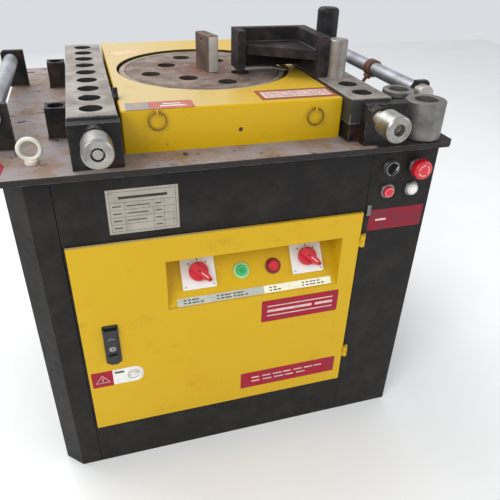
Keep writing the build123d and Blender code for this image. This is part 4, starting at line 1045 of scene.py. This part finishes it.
def former_end():
    """Bright rubbed end face of the centre former."""
    along = Vector((math.cos(FORMER_TURN), math.sin(FORMER_TURN), 0))
    across = Vector((-along.y, along.x, 0))
    low_z, high_z = 859 * MM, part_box("centre_former")[1][2] - 2 * MM
    centre = FORMER_CENTRE + along * FORMER_REACH + Vector((0, 0, (low_z + high_z) / 2))
    at = plane(centre, across, (0, 0, 1))
    outline = rounded_outline(22 * MM, high_z - low_z, 1 * MM)
    if at.to_3x3().col[2].dot(along) < 0:
        at = plane(centre, -across, (0, 0, 1))
    slab("former_end_face", at, outline, 0.25 * MM, "bright", "former")


# ---------------------------------------------------------------- stage
def stage():
    """Pale floor, soft light and the camera."""
    mesh = bpy.data.meshes.new("floor")
    size = 9.0
    steps = 6
    places = [size * (i / steps - 0.5) for i in range(steps + 1)]
    verts = [(x, y, 0) for y in places for x in places]
    faces = []
    for j in range(steps):
        for i in range(steps):
            first = j * (steps + 1) + i
            faces.append([first, first + 1, first + steps + 2, first + steps + 1])
    mesh.from_pydata(verts, [], faces)
    floor = bpy.data.objects.new("floor", mesh)
    bpy.context.scene.collection.objects.link(floor)
    surface = Surface("floor_surface", 0.8)
    colour = surface.mix(surface.noise(3, 4), srgb(236, 236, 234), srgb(244, 244, 243))
    mesh.materials.append(surface.finish(colour))

    world = bpy.data.worlds.new("studio")
    bpy.context.scene.world = world
    world.use_nodes = True
    background = world.node_tree.nodes["Background"]
    background.inputs["Color"].default_value = (0.93, 0.96, 1.0, 1)
    background.inputs["Strength"].default_value = 0.75

    lights = (("overhead", (-1.2, 1.6, 3.2), 3.0, 75), ("key", (-2.2, -2.4, 2.6), 2.0, 55),
              ("fill", (2.6, -1.8, 1.6), 2.2, 26))
    for name, place, size, power in lights:
        light = bpy.data.lights.new(name, "AREA")
        light.shape = "DISK"
        light.size = size
        light.energy = power
        lamp = bpy.data.objects.new(name, light)
        lamp.location = place
        lamp.rotation_euler = (Vector((0, 0, 0.55)) - Vector(place)).to_track_quat("-Z", "Y").to_euler()
        bpy.context.scene.collection.objects.link(lamp)

    camera = bpy.data.objects.new("camera", bpy.data.cameras.new("camera"))
    right, up = Vector((0.95783, -0.28614, 0.02633)), Vector((0.13032, 0.51425, 0.84768))
    camera.matrix_world = Matrix((right, up, right.cross(up))).transposed().to_4x4()
    camera.location = (-0.2659, -1.2533, 1.1545)
    camera.data.sensor_width = 36
    camera.data.lens = 37.83
    camera.data.clip_start = 0.05
    bpy.context.scene.collection.objects.link(camera)
    bpy.context.scene.camera = camera
    bpy.context.scene.view_settings.view_transform = "Standard"


dress_nodes()
nameplate_print()
door_films()
cover_films()
panel_films()
control_details()
panel_control_details()
latch_details()
weld_details()
cover_clip()
cover_screw()
panel_screws()
former_end()
stage()
